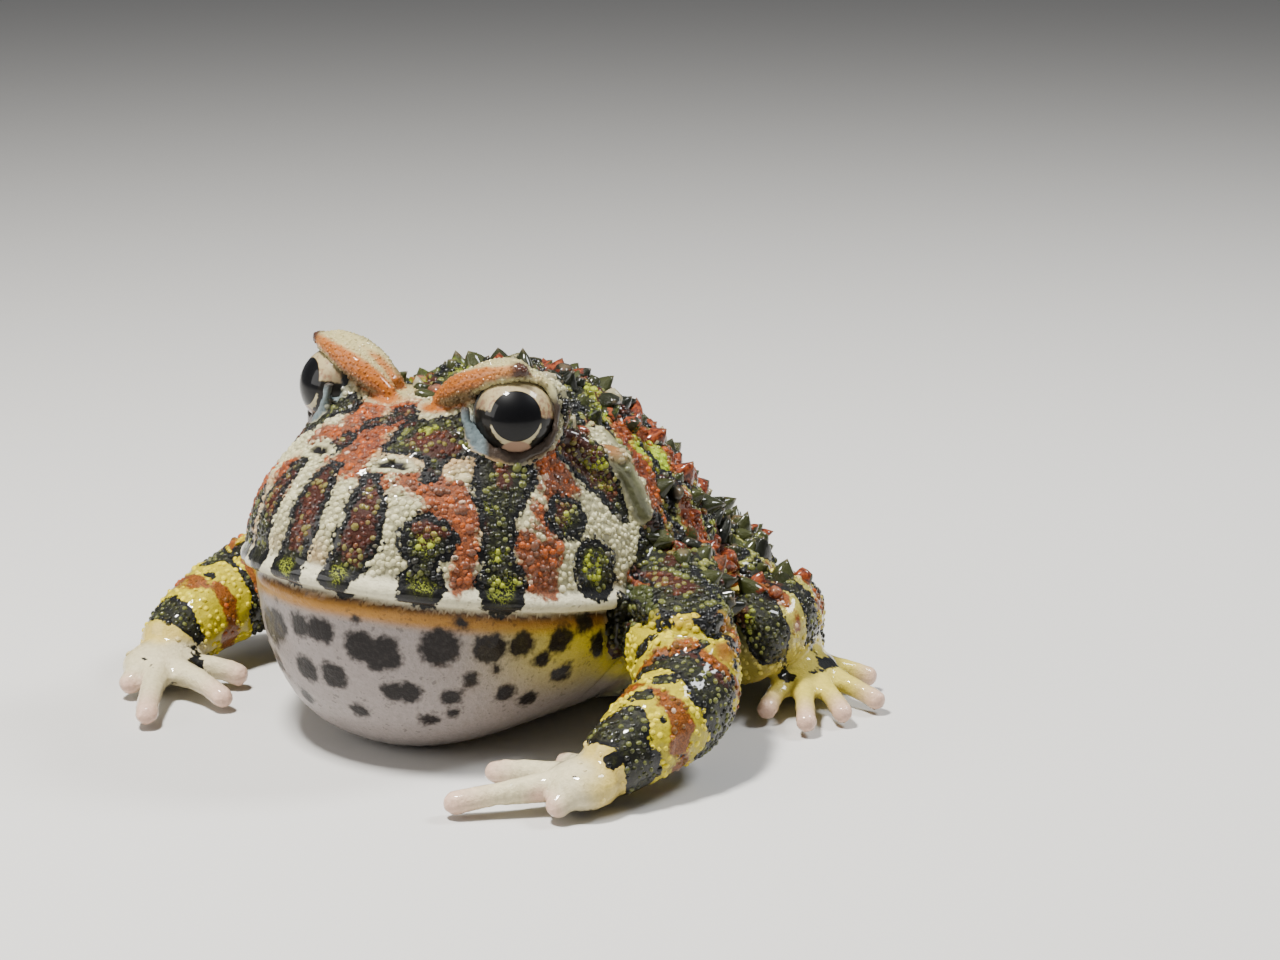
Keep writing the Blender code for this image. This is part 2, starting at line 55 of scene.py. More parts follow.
eye_low, eye_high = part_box("eye_left")
eye_in_frame = (Vector(eye_low) + Vector(eye_high)) / 2
to_frame = Matrix.Translation(eye_in_frame) @ Matrix.Scale(0.001, 4) @ Matrix.Translation(-LEFT_EYE)


def link(name, mesh):
    piece = bpy.data.objects.new(name, mesh)
    bpy.context.scene.collection.objects.link(piece)
    return piece


def points_of(mesh):
    """All vertex places of a mesh as one array."""
    flat = np.empty(len(mesh.vertices) * 3)
    mesh.vertices.foreach_get("co", flat)
    return flat.reshape(-1, 3)


def put_points(mesh, places):
    mesh.vertices.foreach_set("co", np.asarray(places, float).ravel())
    mesh.update()


def settle(piece):
    """Turns the piece's modifiers into plain mesh."""
    bpy.context.view_layer.update()
    graph = bpy.context.evaluated_depsgraph_get()
    mesh = bpy.data.meshes.new_from_object(piece.evaluated_get(graph))
    piece.modifiers.clear()
    piece.data = mesh
    return piece


def follow(keys, at):
    """Smooth curve through (position, value) keys, at one position or an array of them."""
    spots = np.array([key[0] for key in keys], float)
    values = np.array([tuple(key[1]) if hasattr(key[1], "__len__") else (key[1],) for key in keys], float)
    tilt = np.gradient(values, axis=0) / np.gradient(spots)[:, None]
    at = np.clip(np.atleast_1d(np.asarray(at, float)), spots[0], spots[-1])
    i = np.clip(np.searchsorted(spots, at, side="right") - 1, 0, len(spots) - 2)
    width = (spots[i + 1] - spots[i])[:, None]
    u = (at[:, None] - spots[i][:, None]) / width
    ease = 3 * u ** 2 - 2 * u ** 3
    bends = tilt[i] * width * (u - 2 * u ** 2 + u ** 3) + tilt[i + 1] * width * (u ** 3 - u ** 2)
    found = values[i] * (1 - ease) + values[i + 1] * ease + bends
    return found[:, 0] if values.shape[1] == 1 else found


def signed_power(value, power):
    return np.sign(value) * np.abs(value) ** power


def egg(name, around, along, place):
    """A ball with its poles fore and aft, whose points place(t, angle) sets, t from -1 to 1."""
    bm = bmesh.new()
    bmesh.ops.create_uvsphere(bm, u_segments=around, v_segments=along, radius=1.0)
    mesh = bpy.data.meshes.new(name)
    bm.to_mesh(mesh)
    bm.free()
    unit = points_of(mesh)
    put_points(mesh, place(np.clip(unit[:, 2], -1, 1), np.arctan2(unit[:, 1], unit[:, 0])))
    bm = bmesh.new()
    bm.from_mesh(mesh)
    if bm.calc_volume(signed=True) < 0:
        bmesh.ops.reverse_faces(bm, faces=bm.faces)
    bm.to_mesh(mesh)
    bm.free()
    return link(name, mesh)


def ball(name, centre, radii, segments=48, rings=32, turn=None):
    bm = bmesh.new()
    bmesh.ops.create_uvsphere(bm, u_segments=segments, v_segments=rings, radius=1.0)
    bm.transform(Matrix.Translation(centre) @ (turn or Matrix.Identity(4)) @ Matrix.Diagonal((*radii, 1.0)))
    mesh = bpy.data.meshes.new(name)
    bm.to_mesh(mesh)
    bm.free()
    return link(name, mesh)


def tube(name, points, radii, rings=24, round_tip=True):
    """A fleshy tube along a smooth curve through the points, with its own radius at each point."""
    length = sum((Vector(points[i + 1]) - Vector(points[i])).length for i in range(len(points) - 1))
    tip = radii[-1] / length if round_tip else 0.0
    stations = np.linspace(0, 1 - tip, rings)
    sizes = follow(along_path(radii), stations)
    if round_tip:
        turns = np.radians([75, 60, 45, 30, 15])
        stations = np.append(stations, 1 - tip + tip * np.cos(turns))
        sizes = np.append(sizes, radii[-1] * np.sin(turns))
    curve = bpy.data.curves.new(name, "CURVE")
    curve.dimensions = "3D"
    curve.bevel_depth = 1.0
    curve.bevel_resolution = 6
    curve.use_fill_caps = True
    spline = curve.splines.new("POLY")
    spline.points.add(len(stations) - 1)
    for point, place, size in zip(spline.points, follow(along_path(points), stations), sizes):
        point.co = (*place, 1.0)
        point.radius = size
    guide = link(name + "_guide", curve)
    bpy.context.view_layer.update()
    mesh = bpy.data.meshes.new_from_object(guide.evaluated_get(bpy.context.evaluated_depsgraph_get()))
    bpy.data.objects.remove(guide)
    bm = bmesh.new()
    bm.from_mesh(mesh)
    bmesh.ops.remove_doubles(bm, verts=bm.verts, dist=0.001)
    bmesh.ops.recalc_face_normals(bm, faces=bm.faces)
    bm.to_mesh(mesh)
    bm.free()
    return link(name, mesh)


def cut(piece, cutter):
    away = piece.modifiers.new("cut", "BOOLEAN")
    away.operation = "DIFFERENCE"
    away.object = cutter
    away.solver = "EXACT"
    return settle(piece)


def mirrored(side, spots):
    """Spots of the left side brought to the given side."""
    return [(side * x, y, z) for x, y, z in spots]


def along_path(values):
    """Keys for follow that spread the values evenly from 0 to 1."""
    return list(zip(np.linspace(0, 1, len(values)), values))


def swing_about(piece, side, pivot, degrees):
    """Puts a left-hand form on the given side, swung about an upright line."""
    if side < 0:
        piece.data.transform(Matrix.Scale(-1, 4, (1, 0, 0)))
        piece.data.flip_normals()
    about = Matrix.Translation((side * pivot[0], pivot[1], 0))
    piece.data.transform(about @ Matrix.Rotation(math.radians(degrees), 4, "Z") @ about.inverted())
    return piece


flesh = []

# The head: cranium, upper jaw and the smooth lip that runs round the wide mouth
# In life one bony dome, as wide as the body, under thin beaded skin.
SNOUT_Y, NECK_Y = -41.5, 3.0
MOUTH_HALF_WIDTH, MOUTH_CORNER_Z, MOUTH_RISE = 28.7, 20.2, 7.6
LIP_RADIUS = 2.0
EYE_RADIUS = 5.8
ORBIT_RADII = (6.9, 6.9, 6.6)
CREST = ([(17.0, -9.0, 46.0), (22.5, -3.0, 40.4), (26.0, 2.0, 33.4), (27.8, 6.0, 26.0)],
         (1.4, 2.0, 2.1, 1.2))
HEAD_HEIGHT = [(-41.5, 3.0), (-40.0, 9.0), (-37.0, 13.0), (-33.0, 16.6), (-30.0, 18.6), (-24.0, 22.6),
               (-16.0, 26.3), (-5.0, 27.6), (4.0, 28.8), (12.0, 28.8)]


def mouth_half_width(y):
    return MOUTH_HALF_WIDTH * np.sqrt(1 - np.clip(y / SNOUT_Y, 0, 1) ** 2.4)


def mouth_z(y):
    return MOUTH_CORNER_Z + MOUTH_RISE * np.maximum(0, y / SNOUT_Y) ** 1.3


def eye_axis(side, out=42):
    out, up = math.radians(out), math.radians(18)
    return Vector((side * math.sin(out) * math.cos(up), -math.cos(out) * math.cos(up), math.sin(up)))


def eye_centre(side):
    return Vector((side * LEFT_EYE.x, LEFT_EYE.y, LEFT_EYE.z))


def head_form(t, angle):
    front, back = SNOUT_Y, NECK_Y + 9
    y = (front + back) / 2 + (back - front) / 2 * t
    cap = np.sqrt(np.maximum(0, 1 - np.abs(t) ** 14))
    half = np.where(y < 0, mouth_half_width(y), MOUTH_HALF_WIDTH + 0.06 * y) * cap
    rise = signed_power(np.sin(angle), 0.97)
    x = np.maximum(half, 0.02) * signed_power(np.cos(angle), 0.88)
    z = mouth_z(y) + np.where(rise > 0, follow(HEAD_HEIGHT, y), 5.0) * cap * rise
    mound, spread = 4.6, 6.4
    away = ((np.abs(x) - LEFT_EYE.x + 1.6) ** 2 + (y - LEFT_EYE.y - 1.0) ** 2) / spread ** 2
    z += mound * np.exp(-away) * np.maximum(0, rise)
    return np.stack([x, y, z], axis=1)


def mouth_line(inset, lift, steps=60):
    """Points along the mouth from corner to corner, a little inside its outline."""
    points = []
    for i in range(steps + 1):
        swing = math.pi * i / steps
        y = SNOUT_Y * abs(math.sin(swing)) ** 0.9
        x = math.copysign(float(mouth_half_width(y)), math.cos(swing))
        pull = 1 - inset / MOUTH_HALF_WIDTH
        points.append((x * pull, y * pull, float(mouth_z(y)) + lift))
    return points


flesh.append(egg("head", 96, 90, head_form))
flesh.append(tube("upper_lip", mouth_line(1.2, 0.8), [LIP_RADIUS] * 2, rings=120, round_tip=False))
for side in (-1, 1):
    centre, axis = eye_centre(side), eye_axis(side)
    flesh.append(ball("orbit", centre - axis * 1.9 - Vector((0, 0, 1.0)), ORBIT_RADII))
    flesh.append(tube("crest", mirrored(side, CREST[0]), CREST[1]))

# The upper eyelids: fleshy flaps drawn up to a blunt horn over each eye
# In life soft skin with a thick rolled front edge that shades the eye, and a thin rim below it.
HORN_ROLL = [(-12.0, -2.2, 0.6), (-8.5, -2.9, 3.0), (-5.0, -2.8, 4.7), (-1.2, -2.2, 6.0), (1.6, -1.6, 6.9),
             (3.5, -1.3, 7.4)]
HORN_ROLL_RADII = (1.1, 1.75, 2.0, 1.8, 1.3, 0.7)
SAIL = [(-10.0, 0.2, 0.4), (-5.5, 0.4, 3.8), (-1.0, 0.2, 5.7), (2.6, -0.6, 6.9)]
SAIL_RADII = (2.4, 2.8, 2.5, 1.1)
RIM_SPOTS = [(-6.9, 1.4), (-6.6, -1.6), (-4.6, -4.5), (0.0, -6.1), (4.4, -4.5), (5.9, -1.0), (5.7, 1.8),
             (4.4, 4.2), (2.2, 5.8)]
RIM_RADII = (0.8, 0.55, 0.5, 0.5, 0.5, 0.5, 0.55, 0.7, 0.8)
RIM_FORWARD = 2.6
CORNER_SPOTS = [(5.2, -4.2), (6.5, -1.0), (6.5, 2.2), (5.0, 5.0)]
CORNER_RADII = (1.0, 1.3, 1.3, 1.0)
CORNER_FORWARD = -1.2
FLAP_RADII = (6.9, 6.8, 6.7)


def eye_level(side):
    """The level direction across the eye, from the snout towards the temple."""
    return Vector((0, 0, 1)).cross(eye_axis(side)).normalized() * side


def round_eye(side, spots, forward):
    """Places round an eye from (level, rise) spots, moved forward along its axis."""
    axis, level = eye_axis(side), eye_level(side)
    rise = axis.cross(level) * side
    return [eye_centre(side) + level * u + rise * v + axis * forward for u, v in spots]


def lid_parts(side):
    """The flap, its rolled edge, the web behind it and the thin rim round the eye."""
    centre, axis = eye_centre(side), eye_axis(side)
    roll = [centre + Vector(spot) for spot in mirrored(side, HORN_ROLL)]
    web = [centre + Vector(spot) for spot in mirrored(side, SAIL)]
    flap = ball("lid_flap", centre + Vector((0, 0.3, 0.2)), FLAP_RADII)
    brow = centre + Vector((0, 0, 4.2)) + axis * 1.5
    up = (Vector((0, 0, 1)) - axis * 0.75).normalized()
    bm = bmesh.new()
    bm.from_mesh(flap.data)
    whole = bm.verts[:] + bm.edges[:] + bm.faces[:]
    found = bmesh.ops.bisect_plane(bm, geom=whole, plane_co=brow, plane_no=up, clear_inner=True)
    edges = [edge for edge in found["geom_cut"] if isinstance(edge, bmesh.types.BMEdge)]
    bmesh.ops.triangle_fill(bm, edges=edges, use_beauty=True)
    bmesh.ops.recalc_face_normals(bm, faces=bm.faces)
    bm.to_mesh(flap.data)
    bm.free()
    return [flap, tube("lid_roll", roll, HORN_ROLL_RADII, rings=40), tube("lid_web", web, SAIL_RADII),
            tube("lid_rim", round_eye(side, RIM_SPOTS, RIM_FORWARD), RIM_RADII, rings=60),
            tube("lid_corner", round_eye(side, CORNER_SPOTS, CORNER_FORWARD), CORNER_RADII)]


for side in (-1, 1):
    flesh += lid_parts(side)
SOCKET_GAP = 0.05
for side in (-1, 1):
    eyeball = ball("eyeball", eye_centre(side), [EYE_RADIUS + SOCKET_GAP] * 3, 64, 48)
    for part in flesh:
        if part.name.startswith(("head", "orbit", "lid")):
            cut(part, eyeball)
    bpy.data.objects.remove(eyeball)

# The lower jaw and throat: a full, soft bowl that rests on the ground
# In life smooth, loose skin over a thin arch of bone, swelling as the frog breathes.
THROAT_FLOOR = [(-41.5, 23.0), (-40.0, 16.5), (-37.5, 10.5), (-34.0, 5.5), (-29.0, 1.4), (-22.0, -0.6),
                (-10.0, -0.8), (12.0, -0.8)]


def jaw_form(t, angle):
    front, back = SNOUT_Y + 1.0, NECK_Y + 9
    y = (front + back) / 2 + (back - front) / 2 * t
    cap = np.sqrt(np.maximum(0, 1 - np.abs(t) ** 14))
    half = np.where(y < 0, mouth_half_width(y - 0.9) - 0.9, MOUTH_HALF_WIDTH * 0.97) * cap
    rise = signed_power(np.sin(angle), 0.9)
    x = np.maximum(half, 0.02) * signed_power(np.cos(angle), 0.85)
    depth = mouth_z(y) - follow(THROAT_FLOOR, y)
    z = mouth_z(y) + np.where(rise > 0, 3.0, depth) * cap * rise
    return np.stack([x, y, z], axis=1)


flesh.append(egg("jaw", 80, 70, jaw_form))

# The torso: a broad domed sack, widest low down, that narrows to the vent
# In life a soft, heavy body whose weight spreads it over the ground.
VENT_Y, BELLY_Z, FLANK_WIDEST_Z, BELLY_POWER = 51.0, -0.7, 14.0, 0.7
BACK_HEIGHT = [(-8.0, 48.4), (5.0, 49.4), (14.0, 48.2), (24.0, 40.8), (34.0, 31.4), (43.0, 22.8),
               (51.0, 16.0)]
BACK_POWER = [(-8.0, 0.95), (8.0, 0.98), (20.0, 1.25), (32.0, 1.4), (51.0, 1.4)]
FLANK_HALF_WIDTH = [(-8.0, 27.0), (4.0, 29.6), (12.0, 30.8), (20.0, 29.0), (30.0, 24.6), (40.0, 18.0),
                    (51.0, 10.0)]


def torso_form(t, angle):
    front, back = NECK_Y - 10, VENT_Y
    y = (front + back) / 2 + (back - front) / 2 * t
    cap = np.sqrt(np.maximum(0, 1 - np.abs(t) ** 5))
    rise = np.sin(angle)
    power = np.where(rise > 0, follow(BACK_POWER, y), BELLY_POWER)
    x = follow(FLANK_HALF_WIDTH, y) * cap * signed_power(np.cos(angle), power)
    top = (follow(BACK_HEIGHT, y) - FLANK_WIDEST_Z) * cap
    bottom = (FLANK_WIDEST_Z - BELLY_Z) * cap
    z = FLANK_WIDEST_Z + np.where(rise > 0, top, bottom) * rise
    return np.stack([x, y, z], axis=1)


flesh.append(egg("torso", 96, 80, torso_form))

# The front limbs: short and stout, elbows out, hands turned in
# In life plump muscle under beaded skin, with four bare, rounded fingers and no webs.
SHOULDER = (25.0, 8.5, 20.0)
ARM = ([SHOULDER, (35.4, -2.2, 16.2), (41.8, -9.4, 11.0), (42.2, -17.0, 8.8), (41.2, -24.5, 6.4),
        (40.2, -28.0, 5.0)], (9.3, 8.2, 7.2, 6.6, 5.2, 4.4))
FINGERS = [
    [(37.0, -27.5, 3.6), (33.0, -23.5, 3.2), (28.6, -21.0, 1.8)],
    [(36.0, -29.5, 3.8), (29.5, -29.6, 3.4), (22.4, -30.2, 1.8)],
    [(37.0, -31.5, 3.8), (31.5, -37.6, 3.2), (25.6, -43.4, 1.9)],
    [(39.5, -31.5, 3.8), (39.4, -34.4, 2.8), (38.4, -36.8, 2.0)],
]
PALM, SOLE = (39.4, -29.8, 4.0), (39.6, 25.5, 3.9)
ARM_SWING = {1: 0.0, -1: -5.0}
for side in (-1, 1):
    limb = [tube("arm", *ARM, rings=40), ball("palm", PALM, (5.0, 5.4, 3.5))]
    limb += [tube("finger", points, (2.3, 1.75, 1.9)) for points in FINGERS]
    flesh += [swing_about(part, side, SHOULDER, ARM_SWING[side]) for part in limb]

# The hind limbs: thigh along the flank, shank folded against it, foot splayed outwards
# In life strong digging legs, with five short toes on a broad sole.
HIP = (14.0, 36.0, 0.0)
THIGH = ([(10.0, 37.0, 14.0), (22.0, 27.0, 14.5), (34.0, 15.0, 12.0)], (9.5, 9.2, 7.0))
SHANK = ([(34.6, 13.5, 11.0), (34.6, 24.0, 12.6), (29.5, 35.5, 10.5)], (6.6, 6.8, 5.0))
ANKLE = ([(29.0, 37.0, 8.0), (33.6, 31.0, 6.4), (38.0, 24.5, 4.4)], (5.0, 4.4, 4.0))
TOES = [
    [(38.5, 23.0, 4.2), (39.4, 17.0, 3.4), (40.8, 11.6, 1.9)],
    [(40.0, 23.0, 4.2), (44.6, 16.6, 3.4), (48.8, 10.6, 1.9)],
    [(41.0, 24.0, 4.2), (46.2, 21.2, 3.2), (51.2, 17.6, 1.8)],
    [(40.5, 26.5, 4.2), (46.6, 26.6, 3.2), (52.4, 26.0, 1.8)],
    [(38.5, 28.5, 4.6), (42.0, 32.0, 3.6), (46.0, 34.8, 1.9)],
]
LEG_SWING = {1: 0.0, -1: 4.0}
for side in (-1, 1):
    limb = [tube("thigh", *THIGH), tube("shank", *SHANK), tube("ankle", *ANKLE)]
    limb += [ball("sole", SOLE, (4.6, 5.4, 3.6))]
    limb += [tube("toe", points, (2.4, 1.5, 1.65)) for points in TOES]
    flesh += [swing_about(part, side, HIP, LEG_SWING[side]) for part in limb]

# The skin: all these forms under one continuous surface
# Fused in one remesh, softened where limbs meet the body, and flattened where it rests.
SKIN_GRAIN = 0.62


def fused(parts, name, grain):
    """One closed surface round all the parts."""
    bm = bmesh.new()
    for part in parts:
        bm.from_mesh(part.data)
        bpy.data.objects.remove(part)
    mesh = bpy.data.meshes.new(name)
    bm.to_mesh(mesh)
    bm.free()
    whole = link(name, mesh)
    remesh = whole.modifiers.new("fuse", "REMESH")
    remesh.mode = "VOXEL"
    remesh.voxel_size = grain
    return settle(whole)


def softened(piece, weights, times):
    """Smooths the piece, more where the weight of a vertex is higher."""
    group = piece.vertex_groups.new(name="soft")
    for level in range(1, 11):
        chosen = np.nonzero(np.round(weights * 10) == level)[0]
        group.add([int(i) for i in chosen], level / 10, "REPLACE")
    smooth = piece.modifiers.new("soften", "SMOOTH")
    smooth.factor = 0.5
    smooth.iterations = times
    smooth.vertex_group = group.name
    settle(piece)
    piece.vertex_groups.clear()
    return piece


def way_to(places, path):
    """Distance of each place from a path of points, and how far along the path, from 0 to 1."""
    path = np.asarray(path, float)
    best, along = np.full(len(places), 1e9), np.zeros(len(places))
    for i in range(len(path) - 1):
        step = path[i + 1] - path[i]
        u = np.clip((places - path[i]) @ step / (step @ step), 0, 1)
        gap = np.linalg.norm(places - path[i] - u[:, None] * step, axis=1)
        nearer = gap < best
        best[nearer], along[nearer] = gap[nearer], (i + u[nearer]) / (len(path) - 1)
    return best, along


def ramp(value, low, high):
    """0 below low, 1 above high, smooth between."""
    u = np.clip((value - low) / (high - low), 0, 1)
    return u * u * (3 - 2 * u)


def normals_of(mesh):
    flat = np.empty(len(mesh.vertices) * 3)
    mesh.vertices.foreach_get("normal", flat)
    return flat.reshape(-1, 3)


skin = fused(flesh, "skin", SKIN_GRAIN)
places = points_of(skin.data)
face_side = ramp(-places[:, 1], -8, 0) * ramp(places[:, 2], 14, 19)
hands_and_feet = ramp(-places[:, 2], -7, -5) * ramp(np.abs(places[:, 0]), 31, 34)
softened(skin, np.ones(len(places)), 3)
softened(skin, 1 - np.maximum(face_side, hands_and_feet), 16)

# Folds, grooves and lumps of the skin
# In life the skin lies loose over the body: it folds at the corner of the mouth, wrinkles at the
# armpit and throat, and swells under each wart of the back.
NOSTRIL_SLIT = [(5.6, -30.5, 43.2), (6.8, -29.9, 43.3), (8.1, -29.3, 43.1)]
SHOULDER_FLAP = [(20.5, -1.5, 43.2), (24.4, -1.4, 40.3), (26.2, -0.2, 36.3), (27.2, 0.9, 31.8)]
# Each fold of the left side, how wide it is and how far it stands out: the edge from eye to
# nostril, behind the mouth, across the throat, the flap and its groove, and over the neck
FOLDS = [
    ([(8.5, -28.5, 44.3), (9.8, -24.5, 46.0), (11.0, -20.5, 47.6)], 1.6, 0.7),
    ([(28.6, -1.0, 22.0), (28.8, -2.2, 17.5), (27.0, -6.0, 12.5)], 1.3, 1.0),
    ([(27.5, 0.5, 17.0), (24.0, -4.0, 8.0), (16.0, -6.0, 1.5)], 1.4, -0.9),
    (SHOULDER_FLAP, 0.85, 1.3),
    ([(x * 0.99, y - 2.0, z + 0.3) for x, y, z in SHOULDER_FLAP], 0.8, -1.0),
    ([(3.0, 6.0, 49.2), (9.3, 6.8, 47.3), (13.9, 9.4, 44.9), (18.0, 9.4, 42.6)], 2.4, 1.2),
]
ARMPIT_WRINKLES = [([(29 + 0.8 * i, 6.5 + 1.7 * i, 30 - 2.2 * i), (34 + 0.6 * i, 3 + 1.5 * i, 22 - 2.6 * i)],
                    0.6, -0.55) for i in range(5)]
CROWN_SWELL = [(-11.0, 0.0, 47.0), (-6.0, -2.0, 48.2), (0.0, -1.0, 48.8), (7.0, 1.0, 48.0)]
GLOBE_CENTRE = np.array([0.0, -6.0, 22.0])


def on_globe(bearing, height):
    """Direction from the middle of the head: bearing from the snout to the left, height above the lip."""
    a, b = np.radians(bearing), np.radians(height)
    return np.array([np.sin(a) * np.cos(b), -np.cos(a) * np.cos(b), np.sin(b)])


def globe_gap(rays, reach, stroke):
    """Distance in millimetres from a stroke of (bearing, height, radius) spots; below 0 inside it."""
    best = np.full(len(rays), 1e3)
    spots = [(on_globe(b, h), r) for b, h, r in stroke]
    for (start, low), (end, high) in zip(spots, spots[1:] or spots):
        step = end - start
        u = np.clip((rays - start) @ step / max(step @ step, 1e-9), 0, 1)
        gap = np.linalg.norm(rays - start - u[:, None] * step, axis=1) * reach - low - u * (high - low)
        best = np.minimum(best, gap)
    return best


def raised(places, out, path, width, height):
    """Pushes the skin out along a path, or in where the height is negative."""
    gap, along = way_to(places, path)
    ends = np.sin(np.pi * np.clip(along, 0.02, 0.98)) ** 0.4
    return places + out * (height * ends * np.exp(-(gap / width) ** 2))[:, None]


def nostril(places, side):
    """The slit of one nostril, brought onto the surface of the skin."""
    spots = np.array(mirrored(side, NOSTRIL_SLIT))
    return [places[np.argmin(np.linalg.norm(places - spot, axis=1))] for spot in spots]


def wavy(places, scale, seed):
    """Smooth noise at each place, from -1 to 1."""
    shift = Vector((seed * 17.3, seed * 5.1, -seed * 9.7))
    return np.array([noise.noise(Vector(place) * scale + shift) for place in places])


places, out = points_of(skin.data), normals_of(skin.data)
lip_z = mouth_z(places[:, 1])
at_mouth = ramp(-places[:, 1], -1.5, 2.0) * (1 - ramp(np.abs(out[:, 2]), 0.75, 0.95))
groove = np.exp(-((places[:, 2] - lip_z + 1.2) / 0.8) ** 2) * at_mouth
lip_ledge = np.exp(-((places[:, 2] - lip_z - 0.9) / 1.3) ** 2) * at_mouth
places = places + out * (0.4 * lip_ledge - 1.2 * groove)[:, None]
slit_gaps = {}
for side in (-1, 1):
    slit = nostril(places, side)
    slit_gaps[side], _ = way_to(places, slit)
    rim = [(x, y, z + 0.9) for x, y, z in slit]
    places = raised(places, out, rim, 0.9, 0.4)
    places = raised(places, out, slit, 0.65, -1.0)
    for fold, width, height in FOLDS + ARMPIT_WRINKLES:
        places = raised(places, out, mirrored(side, fold), width, height)
for side in (-1, 1):
    away = places - np.array(eye_centre(side))
    far = np.linalg.norm(away, axis=1)
    gap = far - EYE_RADIUS
    snug = 0.04 + np.maximum(gap, 0) * (0.25 + 0.75 * ramp(gap, 0.1, 1.2))
    places = places + away / far[:, None] * np.where(gap < 1.2, snug - gap, 0)[:, None]
places = raised(places, out, CROWN_SWELL, 3.6, 2.4)
on_back = ramp(places[:, 1], -6, 8) * ramp(places[:, 2], 9, 20)
lumps = wavy(places, 0.22, 1) * 0.9 + wavy(places, 0.55, 2) * 0.45
places = places + out * (on_back * lumps)[:, None]
places = places + out * (0.10 * wavy(places, 0.9, 3) * (1 - on_back))[:, None]
places[:, 2] = np.maximum(places[:, 2], 0.02)
put_points(skin.data, places)

# The frog's colours, as places on the body
# Blotches are drawn as strokes of spots; each vertex keeps its distance from the nearest of each
# kind, and the finish turns that into a black-edged blotch, a rust patch or a lime one.
DARK_STROKES = [
    [(53, 41, 4.6), (50, 34, 4.0), (48, 25, 2.6), (47.5, 17, 2.7), (48, 11, 3.6), (48.5, 8.5, 3.3)],
    [(29.7, 21.5, 3.9)], [(29.2, 15, 2.4), (28.6, 11.5, 3.3)],
    [(13, 46, 2.0), (21, 51, 4.6), (30, 51, 5.0), (39, 50, 3.4)], [(27.6, 38.5, 1.5), (29, 43, 1.6)],
    [(12, 35, 1.5), (13.5, 29, 2.9), (13.2, 21, 3.4), (11, 15.5, 3.0), (9, 11.5, 2.6)],
    [(-3, 36, 1.8), (-2, 28, 2.9), (-3, 19, 2.9), (-4.8, 12.5, 3.0)],
    [(70.5, 27, 3.1), (73.5, 26, 3.1)],
    [(79, 12, 4.0), (79.5, 10.5, 4.2)],
    [(74, 52, 1.8), (84, 48, 3.2), (91, 40, 3.6), (95, 31, 2.7), (97, 24, 1.9)],
    [(-9, 52, 1.2), (-2, 57, 1.7), (6, 61, 1.9), (15, 64, 1.5)],
    [(106, 17, 1.9), (103, 9, 2.2), (98, 3, 1.6)],
    [(100, 46, 0.7), (101.5, 36, 0.8), (102, 26, 0.6)],
    [(-13, 42, 1.1), (-10, 46, 1.6), (-8, 42, 1.0)], [(0, 56, 1.3), (2, 62, 1.9), (9, 63, 1.6)],
    [(-53, 41, 4.4), (-49, 30, 3.2), (-48, 19, 2.6), (-50, 10, 3.4)],
    [(-31, 21.5, 3.4), (-29.5, 12, 3.0)],
    [(-43, 48, 3.2), (-34, 55, 2.6)],
    [(-17, 35, 1.8), (-18.5, 25, 2.6), (-18, 12, 2.7)],
    [(-72, 26, 3.0)], [(-79, 11, 4.0)],
    [(-76, 51, 2.0), (-88, 45, 3.3), (-95, 31, 2.6), (-97, 23, 1.7)],
    [(-104, 15, 2.0), (-100, 6, 2.0)],
]
RUST_STROKES = [
    [(-28, 64, 2.2), (-20, 58, 2.9), (-8, 52, 3.0), (0, 45, 3.2), (2.5, 38, 2.6)],
    [(16, 41, 1.0), (22, 37.5, 1.8), (29, 35, 2.4), (34, 31.5, 3.4), (38, 27, 3.0)],
    [(39.5, 24, 1.9), (38.7, 12.5, 1.8)],
    [(68, 47, 1.8), (72, 42, 3.0), (73, 37, 3.2), (70, 33, 2.4)], [(64, 25, 1.8), (62, 30, 1.2)],
    [(56, 19.5, 2.3), (60, 14.5, 2.8), (64, 18, 2.2)], [(56.5, 9.0, 1.3), (62, 8.6, 1.5)], [(95, 5, 1.3)],
    [(13, 36, 2.0), (13.7, 28, 2.6), (13, 21, 2.6), (12, 18, 1.8)],
    [(-3, 37, 2.0), (-2, 28, 2.1), (-3, 19, 1.8)],
    [(23, 50, 2.0), (29, 49, 2.2), (33, 46, 1.2)],
    [(83, 48, 1.8), (91, 39, 2.0), (95, 31, 1.4)], [(53, 43, 1.2), (52, 38, 1.0)], [(29.8, 24, 1.5)],
    [(71, 28, 1.2)], [(8, 56, 1.5), (2, 53, 1.5)],
    [(139, 51, 1.4), (132, 44, 2.0), (128, 36, 2.4), (121, 27, 2.9), (108, 21, 2.6)],
    [(-16, 29, 1.8), (-24, 33, 2.2)], [(-38, 27, 2.9), (-38, 14, 1.9)], [(-70, 44, 2.9), (-72, 36, 2.8)],
    [(-60, 15, 2.7)], [(-18, 24, 1.7)], [(-51, 38, 2.6)], [(-130, 40, 2.6), (-112, 24, 2.8)],
    [(-16, 47, 1.8), (-26, 44, 1.6)],
]
LIME_STROKES = [
    [(130, 31, 1.6), (127, 27, 1.4)], [(79, 11.5, 2.5)], [(28.6, 12, 1.6)], [(48.5, 10, 1.9)],
    [(47.7, 18.5, 1.0)], [(29.5, 20.5, 1.6)], [(-5.5, 12, 1.4)], [(9.5, 13.5, 1.3)],
    [(91, 41, 1.1), (94, 32, 0.9)], [(72, 26, 1.2)], [(24, 54, 1.2)], [(45, 31, 0.9)], [(-49, 10, 1.7)],
    [(-78, 10, 2.0)], [(-30, 12, 1.3)],
]
